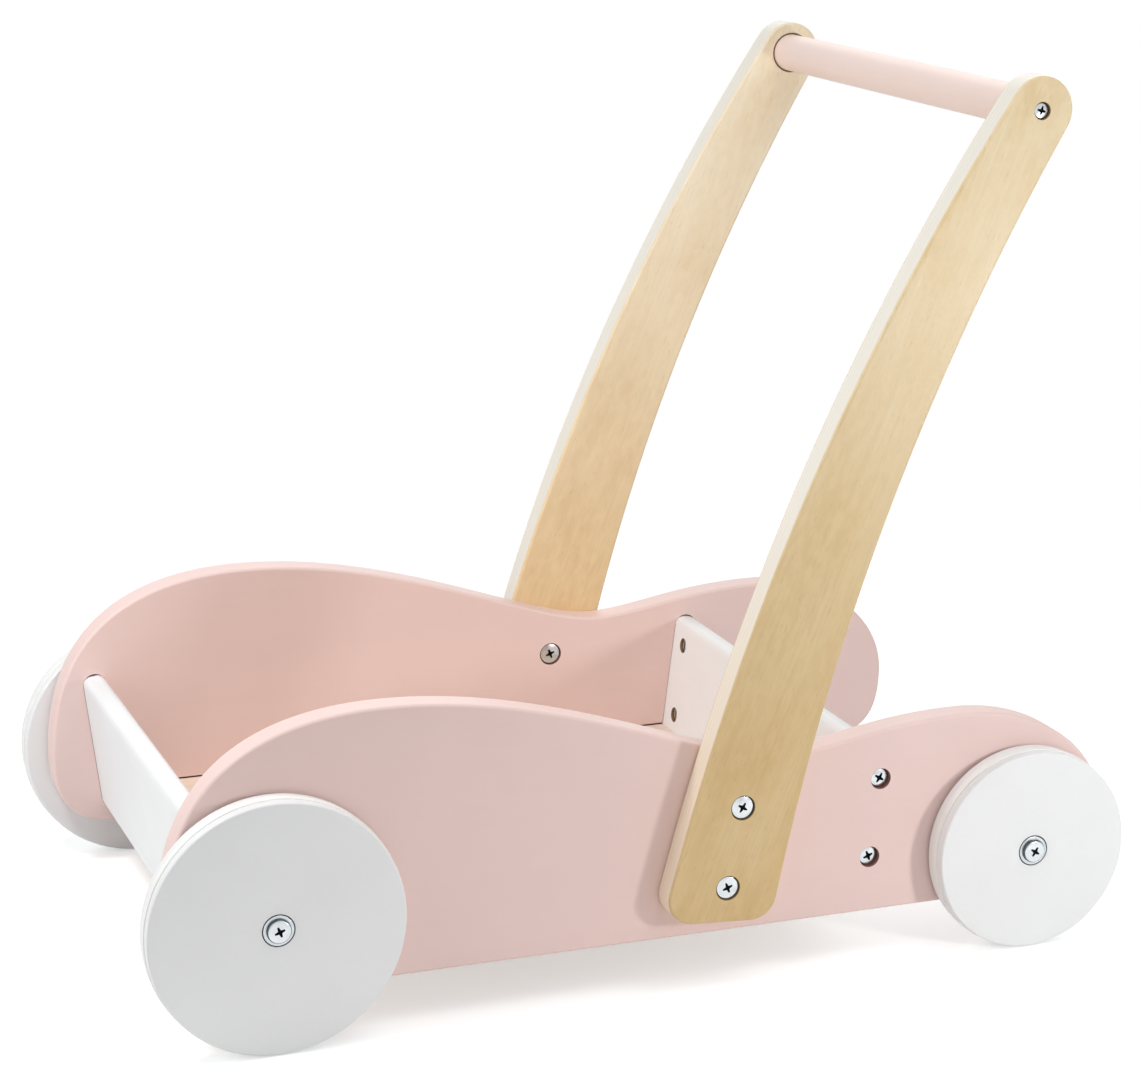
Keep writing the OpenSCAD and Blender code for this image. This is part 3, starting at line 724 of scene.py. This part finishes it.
def plate(name, node, finishes, edge, sizes, axes=ACROSS, outline=None, twin=None, low_lip=None):
    """Rebuilds a drilled and grooved plate with rounded edges.

    Finishes are those of its faces, its edge and its drilled holes. An outline stands in for the flat face's
    own loop where the solid's edge is rounded already. A twin is the solid on the other side that it mirrors.
    A low lip is the rounding of the holes that open on the lower face.
    """
    regions = flats(twin or node, axes)
    low = min(level for level, _, _ in regions)
    high = max(level for level, _, _ in regions)
    shapes, walls, caps = [], {}, []

    def known(loop):
        """Number of a loop's shape."""
        shape = Shape(loop, sizes.hole_points)
        for number, other in enumerate(shapes):
            if shape.same_as(other):
                return number
        shapes.append(shape)
        return len(shapes) - 1

    for level, outer, holes in regions:
        ends = level in (low, high)
        loops = [outline if ends and outline else outer, *holes]
        numbers = [known(loop) for loop in loops]
        caps.append((level, numbers))
        for number in numbers:
            walls.setdefault(number, []).append(level)
    walls = {number: levels for number, levels in walls.items() if len(levels) > 1}
    caps = [(level, numbers) for level, numbers in caps if all(number in walls for number in numbers)]
    rim = next(numbers[0] for level, numbers in caps if level == low)
    # Flat strips of a bore that runs inside the plate join no face of it, and are left out
    joined, grown = set(), {rim}
    while grown != joined:
        joined = grown
        grown = joined.union(*(numbers for _, numbers in caps if joined.intersection(numbers)))
    walls = {number: levels for number, levels in walls.items() if number in joined}
    caps = [(level, numbers) for level, numbers in caps if numbers[0] in joined]

    bm = bmesh.new()
    back = axes.transposed()
    rings = {}
    for number, levels in walls.items():
        start, end = min(levels), max(levels)
        lip = sizes.hole_lip if shapes[number].round else sizes.groove_lip
        way, radii = (1, (edge, edge)) if number == rim else (-1, (low_lip or lip, lip))
        eased = [rounding(radius, sizes.round_steps + round(radius / MM)) for radius in radii]
        stack = [(way * i, start + d) for i, d in eased[0]] if start == low else [(0, start)]
        wall = len(stack) - 1
        stack += [(way * i, end - d) for i, d in reversed(eased[1])] if end == high else [(0, end)]
        made = []
        for shift, level in stack:
            made.append([bm.verts.new(back @ Vector((*p, level))) for p in inset(shapes[number].loop, shift)])
        for band, (ring_a, ring_b) in enumerate(zip(made, made[1:])):
            slot = HOLE if number != rim else EDGE if band == wall else FACE
            bridge(bm, ring_a, ring_b, slot)
        rings[number, start], rings[number, end] = made[0], made[-1]
    for level, numbers in caps:
        cap(bm, [rings[number, level] for number in numbers], axes, FACE if level in (low, high) else HOLE)
    if twin:
        bmesh.ops.transform(bm, matrix=Matrix.Diagonal((-1, 1, 1, 1)), verts=bm.verts)
    settle(bm, name, node, finishes)


# Pieces

class WALKER_OT_side_panels(bpy.types.Operator):
    """Build the two wavy side panels with their grooves and drilled seats"""

    bl_idname = "walker.side_panels"
    bl_label = "Side panels"

    def execute(self, context):
        sizes = context.scene.walker_sizes
        # The panels' drilled seats and grooves take the pink paint, darkened as painted shade
        finishes = ("satin_pink_paint", "satin_pink_paint", "paint_dusted_wood_and_shade")
        plate("painted_panel_left", "side_panel_left", finishes, sizes.panel_edge, sizes)
        plate("painted_panel_right", "side_panel_right", finishes, sizes.panel_edge, sizes,
              twin="side_panel_left")
        return {"FINISHED"}


def board_axes(node):
    """Axes of a leaning cross board: across the walker, up the board, and square to its face."""
    ends = [outer for level, outer, _ in flats(node) if level > 0]
    profile = max(ends, key=signed_area)
    steps = [Vector(b) - Vector(a) for a, b in zip(profile, profile[1:] + profile[:1])]
    rise = max(steps, key=lambda step: step.length).normalized()
    rise = rise if rise.y > 0 else -rise
    across, up = Vector((1, 0, 0)), Vector((0, rise.x, rise.y))
    return Matrix((across, up, across.cross(up)))


class WALKER_OT_cross_boards(bpy.types.Operator):
    """Build the two leaning cross boards with the holes of their barrel nuts"""

    bl_idname = "walker.cross_boards"
    bl_label = "Cross boards"

    def execute(self, context):
        sizes = context.scene.walker_sizes
        for end in ("front", "rear"):
            node = f"{end}_board"
            axes = board_axes(node)
            places = [axes @ vertex.co for vertex in frame["nodes"][node].data.vertices]
            (left, right), (low, high) = ((min(row), max(row)) for row in list(zip(*places))[:2])
            outline = [(left, low), (right, low), (right, high), (left, high)]
            plate(f"painted_board_{end}", node,
                  ("satin_white_paint", "satin_white_paint", "drilled_bare_wood"),
                  sizes.board_edge, sizes, axes, outline)
        return {"FINISHED"}


def coat(node, finish_name):
    """Gives a solid that stays as it is its finish."""
    materials = frame["nodes"][node].data.materials
    materials.clear()
    materials.append(finish(finish_name))


class WALKER_OT_floor_panel(bpy.types.Operator):
    """Give the wagon's floor its lacquered plywood"""

    bl_idname = "walker.floor_panel"
    bl_label = "Floor panel"

    def execute(self, context):
        coat("floor_panel", "lacquered_floor_plywood")
        return {"FINISHED"}


class WALKER_OT_handle_arms(bpy.types.Operator):
    """Build the two bent handle arms of birch plywood"""

    bl_idname = "walker.handle_arms"
    bl_label = "Handle arms"

    def execute(self, context):
        sizes = context.scene.walker_sizes
        # The right arm takes the paler birch, partly painted light for the shade it stands in
        for side, wood in (("left", "lacquered_birch"), ("right", "lacquered_pale_birch")):
            plate(f"birch_arm_{side}", f"handle_arm_{side}",
                  (f"{wood}_veneer", f"{wood}_edge", "drilled_bare_wood"), sizes.arm_edge, sizes,
                  twin="handle_arm_left" if side == "right" else None, low_lip=sizes.seat_lip)
        return {"FINISHED"}


class WALKER_OT_handle_bar(bpy.types.Operator):
    """Turn the round handle bar with its drilled ends"""

    bl_idname = "walker.handle_bar"
    bl_label = "Handle bar"

    def execute(self, context):
        sizes = context.scene.walker_sizes
        found = circles("handle_bar")
        _, place, radius = max(found, key=lambda c: c[2])
        end = max(level for level, _, _ in found)
        bore = min(r for _, _, r in found)
        bore_floor = min(level for level, _, r in found if level > 0 and r < radius / 2)
        eased = rounding(sizes.dowel_edge, sizes.round_steps)
        half = [(bore_floor, 0), (bore_floor, bore), (end, bore)]
        half += [(end - depth, radius - shift) for shift, depth in eased]
        bm = bmesh.new()
        turned(bm, half + [(-x, r) for x, r in reversed(half)], place, sizes.hole_points * 2, closed=False)
        settle(bm, "painted_handle_bar", "handle_bar", ["satin_blush_paint"])
        return {"FINISHED"}


# The paint ends this far above the floor of a wheel's hub recess; the bare wood below is painted dark as
# shade round the washer
HUB_BARE = 0.7 * MM
# A rim, which is seen large, has so many more bands than other edges
RIM_STEPS = 3


class WALKER_OT_wheels(bpy.types.Operator):
    """Turn the four wheels with their rounded rims, ring grooves and hub recesses"""

    bl_idname = "walker.wheels"
    bl_label = "Wheels"

    def execute(self, context):
        sizes = context.scene.walker_sizes
        for end, side in WHEELS:
            self.turn_wheel(f"{end}_wheel_{side}", f"painted_wheel_{end}_{side}", sizes)
        return {"FINISHED"}

    def turn_wheel(self, node, name, sizes):
        """One wheel, from its bore out over the rim and back in by the hub recess."""
        found = circles(node)
        place = found[0][1]
        way = 1 if found[0][0] > 0 else -1
        rings = [(way * level, radius) for level, _, radius in found]
        inner, outer = min(rings)[0], max(rings)[0]
        rim = max(radius for _, radius in rings)
        bore = min(radius for _, radius in rings)
        groove = [level for level, radius in rings if radius == rim]
        groove_floor = min(radius for level, radius in rings if level in groove)
        hub = min(radius for level, radius in rings if level == outer)
        hub_floor = min(level for level, radius in rings if radius == hub)
        edge = rounding(sizes.wheel_edge, sizes.round_steps + RIM_STEPS)
        lip = rounding(sizes.hole_lip, sizes.round_steps)
        section = [(inner + depth, bore + shift) for shift, depth in reversed(lip)]
        section += [(inner + depth, rim - shift) for shift, depth in edge]
        for level, back in ((min(groove), 1), (max(groove), -1)):
            corner = [(level - back * shift, rim - depth) for shift, depth in lip]
            wall = [*corner, (level, groove_floor)]
            section += wall if back > 0 else wall[::-1]
        section += [(outer - depth, rim - shift) for shift, depth in reversed(edge)]
        section += [(outer - depth, hub + shift) for shift, depth in lip]
        seat = hub_floor + HUB_BARE
        section += [(seat, hub), (hub_floor, hub), (hub_floor, bore)]
        bm = bmesh.new()
        turned(bm, [(way * x, r) for x, r in section], place, sizes.wheel_points)
        for face in bm.faces:
            middle = face.calc_center_median()
            # Faces of the seat below the paint take the painted shade
            in_seat = hub_floor - WELD < way * middle.x < seat and math.dist(middle.yz, place) < hub
            face.material_index = 1 if in_seat else 0
        settle(bm, name, node, ["satin_white_paint", "bare_wood_painted_shade"])


class WALKER_OT_tyre_rings(bpy.types.Operator):
    """Turn the rubber rings that sit in the wheels' grooves"""

    bl_idname = "walker.tyre_rings"
    bl_label = "Tyre rings"

    def execute(self, context):
        sizes = context.scene.walker_sizes
        for end, side in WHEELS:
            node = f"{end}_tyre_{side}"
            low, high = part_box(node)
            middle = (low + high) / 2
            outer = (high.z - low.z) / 2
            inner = min(radius for _, _, radius in circles(node))
            crown = rounding(sizes.tyre_crown, sizes.round_steps)
            section = [(low.x, inner)]
            section += [(low.x + shift, outer - depth) for depth, shift in crown]
            section += [(high.x - shift, outer - depth) for depth, shift in reversed(crown)]
            section += [(high.x, inner)]
            bm = bmesh.new()
            turned(bm, section, (middle.y, middle.z), sizes.wheel_points)
            settle(bm, f"rubber_ring_{end}_{side}", node, ["cream_rubber"])
        return {"FINISHED"}


# Fasteners

def by_place(node):
    """A node's fasteners as (place, side of the walker, circles as (distance from the middle, radius))."""
    groups = []
    for level, centre, radius in circles(node):
        side = 1 if level > 0 else -1
        for place, known_side, rings in groups:
            if side == known_side and (place - centre).length < MM:
                rings.append((abs(level), radius))
                break
        else:
            groups.append((centre, side, [(abs(level), radius)]))
    return sorted(groups, key=lambda group: (group[1], *group[0]))


def reach(node):
    """Least and greatest distance of a node from the walker's middle plane."""
    far = [abs(vertex.co.x) for vertex in frame["nodes"][node].data.vertices]
    return min(far), max(far)


def carved(body, cutter):
    """Mesh of a closed body with a closed cutter taken out of it."""
    items = []
    for bm in (body, cutter):
        bmesh.ops.recalc_face_normals(bm, faces=bm.faces)
        mesh = bpy.data.meshes.new("blank")
        bm.to_mesh(mesh)
        bm.free()
        items.append(bpy.data.objects.new("blank", mesh))
        bpy.context.scene.collection.objects.link(items[-1])
    cut = items[0].modifiers.new("cut", "BOOLEAN")
    cut.operation = "DIFFERENCE"
    cut.solver = "MANIFOLD"
    cut.object = items[1]
    made = bpy.data.meshes.new_from_object(items[0].evaluated_get(bpy.context.evaluated_depsgraph_get()))
    for item in items:
        bpy.data.objects.remove(item)
    return made


# Shape of a cross-head: share of the head that is upright, and bands of its dome
HEAD_RIM = 0.8
DOME_STEPS = 8
# One driver fits all: half the length of its cross, and the most that a small head takes of its radius
CROSS_REACH = 2.8 * MM
CROSS_LENGTH = 0.66
# Half width of the cross at its ends and in its web, as shares of its reach
CROSS_WING = 0.16
CROSS_WEB = 0.3
# Depth of the cross and of its tip, as shares of the head's height and radius, and how much it narrows
CROSS_DEPTH = 0.66
CROSS_TIP = 0.1
CROSS_TAPER = 0.6
# How much the driver has widened just above the head
CROSS_FLARE = 1.06
# A face that lies deeper than this under the dome belongs to the recess, which is painted dark as its shade
SKIN = 0.06 * MM
# A face that leans out at least this much belongs to the head's side, which is painted dark as a reflection
HEAD_SIDE = 0.82
# Order of a screw's finishes
BRIGHT, RECESS_SHADE, SIDE = range(3)
SCREW_FINISHES = ("bright_zinc_plate", "driver_recess_painted_shade", "zinc_painted_dark_reflection_plate")


def cross_head(radius, height, shank, length, sizes, shoulder):
    """Mesh of one cross-head screw along +X, with the underside of its head at the origin.

    The shoulder is the rounding of the head's rim.
    """
    rim = height * HEAD_RIM
    dome = (radius ** 2 + (height - rim) ** 2) / (2 * (height - rim))
    eased = rounding(shoulder, sizes.round_steps)
    shares = [i / DOME_STEPS for i in range(DOME_STEPS + 1)]
    crown = [(radius - shoulder) * share for share in shares]
    profile = [(height - dome + math.sqrt(dome ** 2 - r ** 2), r) for r in crown]
    brow = profile[-1][0]
    profile += [(brow - depth, radius - shift) for shift, depth in eased[1:]]
    profile += [(0, radius), (0, shank), (-length + shank / 2, shank), (-length, shank / 2), (-length, 0)]
    body = bmesh.new()
    turned(body, profile, (0, 0), sizes.hole_points, closed=False)

    driver = bmesh.new()
    long = min(CROSS_REACH, radius * CROSS_LENGTH)
    wing, web = long * CROSS_WING, long * CROSS_WEB
    quarter = [(long, -wing), (long, wing), (web, web)]
    star = []
    for turn in range(4):
        c, s = round(math.cos(turn * math.pi / 2)), round(math.sin(turn * math.pi / 2))
        star += [(c * y - s * z, s * y + c * z) for y, z in quarter]
    levels = [(height + sizes.metal_edge, CROSS_FLARE), (height - height * CROSS_DEPTH, CROSS_TAPER)]
    rings = [[driver.verts.new((x, y * share, z * share)) for y, z in star] for x, share in levels]
    bridge(driver, *rings)
    driver.faces.new(rings[0])
    tip = driver.verts.new((height - height * CROSS_DEPTH - radius * CROSS_TIP, 0, 0))
    for a, b in zip(rings[1], rings[1][1:] + rings[1][:1]):
        driver.faces.new((a, b, tip))
    made = carved(body, driver)
    for face in made.polygons:
        off_axis = face.center.yz.length
        if off_axis < CROSS_FLARE * long and face.center.x > SKIN:
            skin = height - dome + math.sqrt(dome ** 2 - off_axis ** 2)
            # Faces deep in the cross take the painted shade
            face.material_index = RECESS_SHADE if face.center.x < skin - SKIN else BRIGHT
        # The head's side takes the painted dark reflection
        elif off_axis > shank and abs(face.normal.x) < HEAD_SIDE:
            face.material_index = SIDE
    return made


def gather(bm, mesh, place):
    """Moves a finished mesh to its place and adds it to a piece's mesh."""
    mesh.transform(place)
    bm.from_mesh(mesh)
    bpy.data.meshes.remove(mesh)


# Each screw was driven home at another angle; the next one is turned on by this many degrees
SCREW_TURN = 37


def driven(bm, mesh, seat, place, way, out, number):
    """Adds a screw to its node's mesh, seated at a distance from the middle and turned by its number."""
    turn = Matrix.Rotation(math.radians(SCREW_TURN * number), 4, "X")
    gather(bm, mesh, Matrix.Translation((way * seat, *place)) @ Matrix.Diagonal((out, 1, 1, 1)) @ turn)


class WALKER_OT_screws(bpy.types.Operator):
    """Build the cross-head screws and bolts of boards, arms, bar and wheels"""

    bl_idname = "walker.screws"
    bl_label = "Screws and bolts"

    def execute(self, context):
        sizes = context.scene.walker_sizes
        for node, name in (
                ("front_board_screws", "board_screws_front"), ("rear_board_screws", "board_screws_rear"),
                ("arm_bolts", "arm_bolts_zinc"), ("handle_bar_screws", "bar_screws_zinc"),
                ("axle_bolts", "axle_bolts_zinc")):
            bm = bmesh.new()
            for number, (place, way, rings) in enumerate(by_place(node), 1):
                radius = max(r for _, r in rings)
                seat = max(level for level, r in rings if r == radius)
                shank = min(r for _, r in rings)
                tip = min(level for level, _ in rings)
                shoulder = sizes.pan_shoulder if node == "axle_bolts" else sizes.metal_edge
                mesh = cross_head(radius, reach(node)[1] - seat, shank, seat - tip, sizes, shoulder)
                driven(bm, mesh, seat, place, way, way, number)
            settle(bm, name, node, SCREW_FINISHES, METAL_SHARP)
        return {"FINISHED"}


class WALKER_OT_sleeve_nuts(bpy.types.Operator):
    """Build the sleeve nuts of the arm bolts, with their wide cross heads"""

    bl_idname = "walker.sleeve_nuts"
    bl_label = "Sleeve nuts"

    def execute(self, context):
        sizes = context.scene.walker_sizes
        node = "arm_sleeve_nuts"
        bm = bmesh.new()
        for number, (place, way, rings) in enumerate(by_place(node), 2):
            radius = max(r for _, r in rings)
            seat = min(level for level, r in rings if r == radius)
            sleeve = sorted({round(r, 5) for _, r in rings})[1]
            mouth = max(level for level, _ in rings)
            mesh = cross_head(radius, seat - reach(node)[0], sleeve, mouth - seat, sizes, sizes.metal_edge)
            driven(bm, mesh, seat, place, way, -way, number)
        settle(bm, "sleeve_nuts_zinc", node, SCREW_FINISHES, METAL_SHARP)
        return {"FINISHED"}


# Room round a screw in its barrel nut, and the nut's driver slot
NUT_CLEAR = 0.1 * MM
SLOT_DEPTH = 1.3 * MM
SLOT_WIDTH = 1.4 * MM
# A cutter is this many radii long, so that it passes clean through
THROUGH = 4


class WALKER_OT_barrel_nuts(bpy.types.Operator):
    """Build the barrel nuts that lie across the boards, each with its driver slot"""

    bl_idname = "walker.barrel_nuts"
    bl_label = "Barrel nuts"

    def execute(self, context):
        sizes = context.scene.walker_sizes
        for end, way in (("front", -1), ("rear", 1)):
            node = f"{end}_barrel_nuts"
            axes = board_axes(f"{end}_board")
            bore = min(radius for _, _, radius in circles(f"{end}_board_screws")) + NUT_CLEAR
            levels = [level for level, _, _ in flats(f"{end}_board", axes)]
            middle = (min(levels) + max(levels)) / 2
            ends = [(way * (level - middle), Shape(outer, sizes.hole_points))
                    for level, outer, _ in flats(node, axes)]
            mouth, foot = (pick(depth for depth, _ in ends) for pick in (max, min))
            local = Matrix((axes[2] * way, axes[0], axes[1] * way)).transposed().to_4x4()
            bm = bmesh.new()
            for depth, shape in ends:
                if mouth - depth > MM:
                    continue
                mesh = self.slotted_nut(shape.radius, mouth, foot, bore, sizes)
                place = axes.transposed() @ Vector((*shape.centre, middle))
                gather(bm, mesh, Matrix.Translation(place) @ local)
            settle(bm, f"barrel_nuts_{end}", node, ["bright_zinc_plate"], METAL_SHARP)
        return {"FINISHED"}

    def slotted_nut(self, radius, mouth, foot, bore, sizes):
        """One nut along X, from its foot to its slotted mouth, with a bore along Y through the origin."""
        eased = rounding(sizes.metal_edge, sizes.round_steps)
        profile = [(mouth, 0)] + [(mouth - depth, radius - shift) for shift, depth in eased]
        profile += [(foot + depth, radius - shift) for shift, depth in reversed(eased)] + [(foot, 0)]
        body = bmesh.new()
        turned(body, profile, (0, 0), sizes.hole_points, closed=False)
        cutter = bmesh.new()
        # Turned by half a facet, so that no edge of the bore falls on one of the nut's
        facet = Matrix.Rotation(math.pi / sizes.hole_points, 4, "Z")
        bmesh.ops.create_cone(
            cutter, cap_ends=True, segments=sizes.hole_points, radius1=bore, radius2=bore,
            depth=THROUGH * radius, matrix=Matrix.Rotation(math.pi / 2, 4, "X") @ facet)
        slot = Matrix.Diagonal((2 * SLOT_DEPTH, SLOT_WIDTH, THROUGH * radius, 1))
        bmesh.ops.create_cube(cutter, size=1, matrix=Matrix.Translation((mouth, 0, 0)) @ slot)
        return carved(body, cutter)


class WALKER_OT_washers(bpy.types.Operator):
    """Turn the washers under the axle bolts"""

    bl_idname = "walker.washers"
    bl_label = "Axle washers"

    def execute(self, context):
        sizes = context.scene.walker_sizes
        node = "axle_washers"
        bm = bmesh.new()
        for (y, z), way, rings in by_place(node):
            low, high = min(rings)[0], max(rings)[0]
            bore, radius = min(r for _, r in rings), max(r for _, r in rings)
            eased = rounding(sizes.metal_edge, sizes.round_steps)
            section = [(low, bore), (high, bore)]
            section += [(high - depth, radius - shift) for shift, depth in eased]
            section += [(low + depth, radius - shift) for shift, depth in reversed(eased)]
            turned(bm, [(way * x, r) for x, r in section], (y, z), sizes.hole_points)
        settle(bm, "washers_zinc", node, ["dull_zinc_plate"], METAL_SHARP)
        return {"FINISHED"}


class WALKER_OT_hidden_hardware(bpy.types.Operator):
    """Give the sleeves, spacers and inserts behind the wheels their metal"""

    bl_idname = "walker.hidden_hardware"
    bl_label = "Hidden hardware"

    def execute(self, context):
        coat("axle_sleeves", "bright_zinc_plate")
        coat("spacer_washers", "bright_zinc_plate")
        coat("insert_nuts", "machined_brass")
        return {"FINISHED"}


# Studio

# Corners of the round floor, and the shares of its radius between which it fades out
FLOOR_CORNERS = 96
FLOOR_FADE = (0.28, 0.6)


class WALKER_OT_stage(bpy.types.Operator):
    """Set up the camera, the softboxes, the pale floor and the white surround"""

    bl_idname = "walker.stage"
    bl_label = "Studio"

    def execute(self, context):
        scene = context.scene
        stage = scene.walker_stage
        scene.view_settings.view_transform = "Standard"
        self.camera(scene, stage)
        self.lamps(scene, stage)
        self.floor(scene, stage)
        self.surround(scene, stage)
        return {"FINISHED"}

    def camera(self, scene, stage):
        """A camera at the fitted place, turn, tilt and roll."""
        azimuth, elevation, roll = stage.camera_azimuth, stage.camera_elevation, stage.camera_roll
        look = Vector((-math.sin(azimuth) * math.cos(elevation), math.cos(azimuth) * math.cos(elevation),
                       -math.sin(elevation)))
        right = Vector((math.cos(azimuth), math.sin(azimuth), 0))
        up = right.cross(look)
        rolled_right = right * math.cos(roll) + up * math.sin(roll)
        rolled_up = up * math.cos(roll) - right * math.sin(roll)
        data = bpy.data.cameras.new("studio_camera")
        data.sensor_fit = "HORIZONTAL"
        data.sensor_width = 36
        data.lens = stage.lens
        camera = bpy.data.objects.new("studio_camera", data)
        camera.matrix_world = Matrix.Translation(stage.camera_place) @ Matrix(
            (rolled_right, rolled_up, -look)).transposed().to_4x4()
        scene.collection.objects.link(camera)
        scene.camera = camera

    def lamps(self, scene, stage):
        """Softboxes overhead, in front, behind and into the wagon, and a small lamp beside the rear wheel.

        Each row gives a lamp's name, power, place, target and size.
        """
        for name, power, place, target, size in (
                ("top_softbox", stage.top_power, (0.5, 0.3, 1.3), (0.1, 0.05, 0.2), (0.8, 0.8)),
                ("front_softbox", stage.front_power, (0.25, -1.7, 0.8), (0.0, 0.0, 0.15), (1.4, 1.2)),
                ("wagon_softbox", stage.wagon_power, (0.05, -0.45, 0.6), (-0.12, -0.05, 0.08), (0.14, 0.14)),
                ("back_softbox", stage.back_power, (-1.4, 0.8, 1.2), (0.0, 0.0, 0.2), (1.2, 1.0)),
                ("side_lamp", stage.side_power, (0.66, 0.44, 0.22), (0.14, 0.05, 0.1), (0.08, 0.08))):
            data = bpy.data.lights.new(name, "AREA")
            data.shape = "RECTANGLE"
            data.size, data.size_y = size
            data.energy = power
            lamp = bpy.data.objects.new(name, data)
            lamp.visible_camera = False
            lamp.location = place
            lamp.rotation_mode = "QUATERNION"
            lamp.rotation_quaternion = (Vector(target) - Vector(place)).to_track_quat("-Z", "Y")
            scene.collection.objects.link(lamp)

    def floor(self, scene, stage):
        """Matt floor that fades into the surround far from the walker."""
        bm = bmesh.new()
        bmesh.ops.create_circle(bm, cap_ends=True, segments=FLOOR_CORNERS, radius=stage.floor_radius)
        mesh = bpy.data.meshes.new("studio_floor")
        bm.to_mesh(mesh)
        bm.free()
        floor = bpy.data.objects.new("studio_floor", mesh)
        scene.collection.objects.link(floor)
        material, tree, shader = blank("matt_studio_floor")
        seen = self.seen(tree)
        colour = add(tree, "ShaderNodeMix", {0: seen, 6: stage.floor_bounce, 7: stage.floor_seen},
                     out=2, data_type="RGBA")
        glow = add(tree, "ShaderNodeMath", {0: seen, 1: stage.floor_glow}, operation="MULTIPLY")
        connect(tree, shader, {"Base Color": colour, "Roughness": 1.0, "Specular IOR Level": 0.0,
                "Emission Color": (1, 1, 1, 1), "Emission Strength": glow})
        place = add(tree, "ShaderNodeTexCoord", {}, out="Object")
        reach_out = add(tree, "ShaderNodeVectorMath", {0: place}, out="Value", operation="LENGTH")
        fade = spread(tree, reach_out, of=[share * stage.floor_radius for share in FLOOR_FADE])
        clear = add(tree, "ShaderNodeBsdfTransparent", {})
        mixed = add(tree, "ShaderNodeMixShader", {0: fade, 1: shader.outputs[0], 2: clear})
        connect(tree, tree.nodes["Material Output"], {"Surface": mixed})
        mesh.materials.append(material)

    def seen(self, tree):
        """1 for what the camera sees directly, in gloss or through glass, and 0 for other light."""
        path = tree.nodes.new("ShaderNodeLightPath")
        direct = add(tree, "ShaderNodeMath", {0: path.outputs["Is Camera Ray"],
                     1: path.outputs["Is Glossy Ray"]}, operation="MAXIMUM")
        return add(tree, "ShaderNodeMath", {0: direct, 1: path.outputs["Is Transmission Ray"]},
                   operation="MAXIMUM")

    def surround(self, scene, stage):
        """White all round for the eye, and an even soft light for the walker."""
        world = bpy.data.worlds.new("white_surround")
        world.use_nodes = True
        scene.world = world
        tree = world.node_tree
        tree.nodes.clear()
        soft = add(tree, "ShaderNodeBackground", {"Color": (1, 1, 1, 1), "Strength": stage.ambient})
        white = add(tree, "ShaderNodeBackground", {"Color": (1, 1, 1, 1), "Strength": 1.0})
        mixed = add(tree, "ShaderNodeMixShader", {0: self.seen(tree), 1: soft, 2: white})
        connect(tree, tree.nodes.new("ShaderNodeOutputWorld"), {"Surface": mixed})


class WALKER_PT_build(bpy.types.Panel):
    """Lists the walker's pieces and the values that shape them"""

    bl_idname = "WALKER_PT_build"
    bl_label = "Baby push walker"
    bl_space_type = "VIEW_3D"
    bl_region_type = "UI"
    bl_category = "Walker"

    def draw(self, context):
        for operator in OPERATORS:
            self.layout.operator(operator.bl_idname)
        for group in (context.scene.walker_sizes, context.scene.walker_colours, context.scene.walker_stage):
            for name in group.__annotations__:
                self.layout.prop(group, name)


GROUPS = {"walker_sizes": WalkerSizes, "walker_colours": WalkerColours, "walker_stage": WalkerStage}
OPERATORS = (
    WALKER_OT_stage, WALKER_OT_side_panels, WALKER_OT_cross_boards, WALKER_OT_floor_panel,
    WALKER_OT_handle_arms, WALKER_OT_handle_bar, WALKER_OT_wheels, WALKER_OT_tyre_rings, WALKER_OT_screws,
    WALKER_OT_sleeve_nuts, WALKER_OT_barrel_nuts, WALKER_OT_washers, WALKER_OT_hidden_hardware,
)
CLASSES = (*GROUPS.values(), *OPERATORS, WALKER_PT_build)


def register():
    """Registers the classes and gives the scene its values."""
    for kind in CLASSES:
        bpy.utils.register_class(kind)
    for name, group in GROUPS.items():
        setattr(bpy.types.Scene, name, PointerProperty(type=group))


def unregister():
    """Takes the values and the classes away again."""
    for name in GROUPS:
        delattr(bpy.types.Scene, name)
    for kind in reversed(CLASSES):
        bpy.utils.unregister_class(kind)


def main():
    """Builds the walker and its studio."""
    register()
    for operator in OPERATORS:
        group, name = operator.bl_idname.split(".")
        getattr(getattr(bpy.ops, group), name)()


if __name__ == "__main__":
    main()
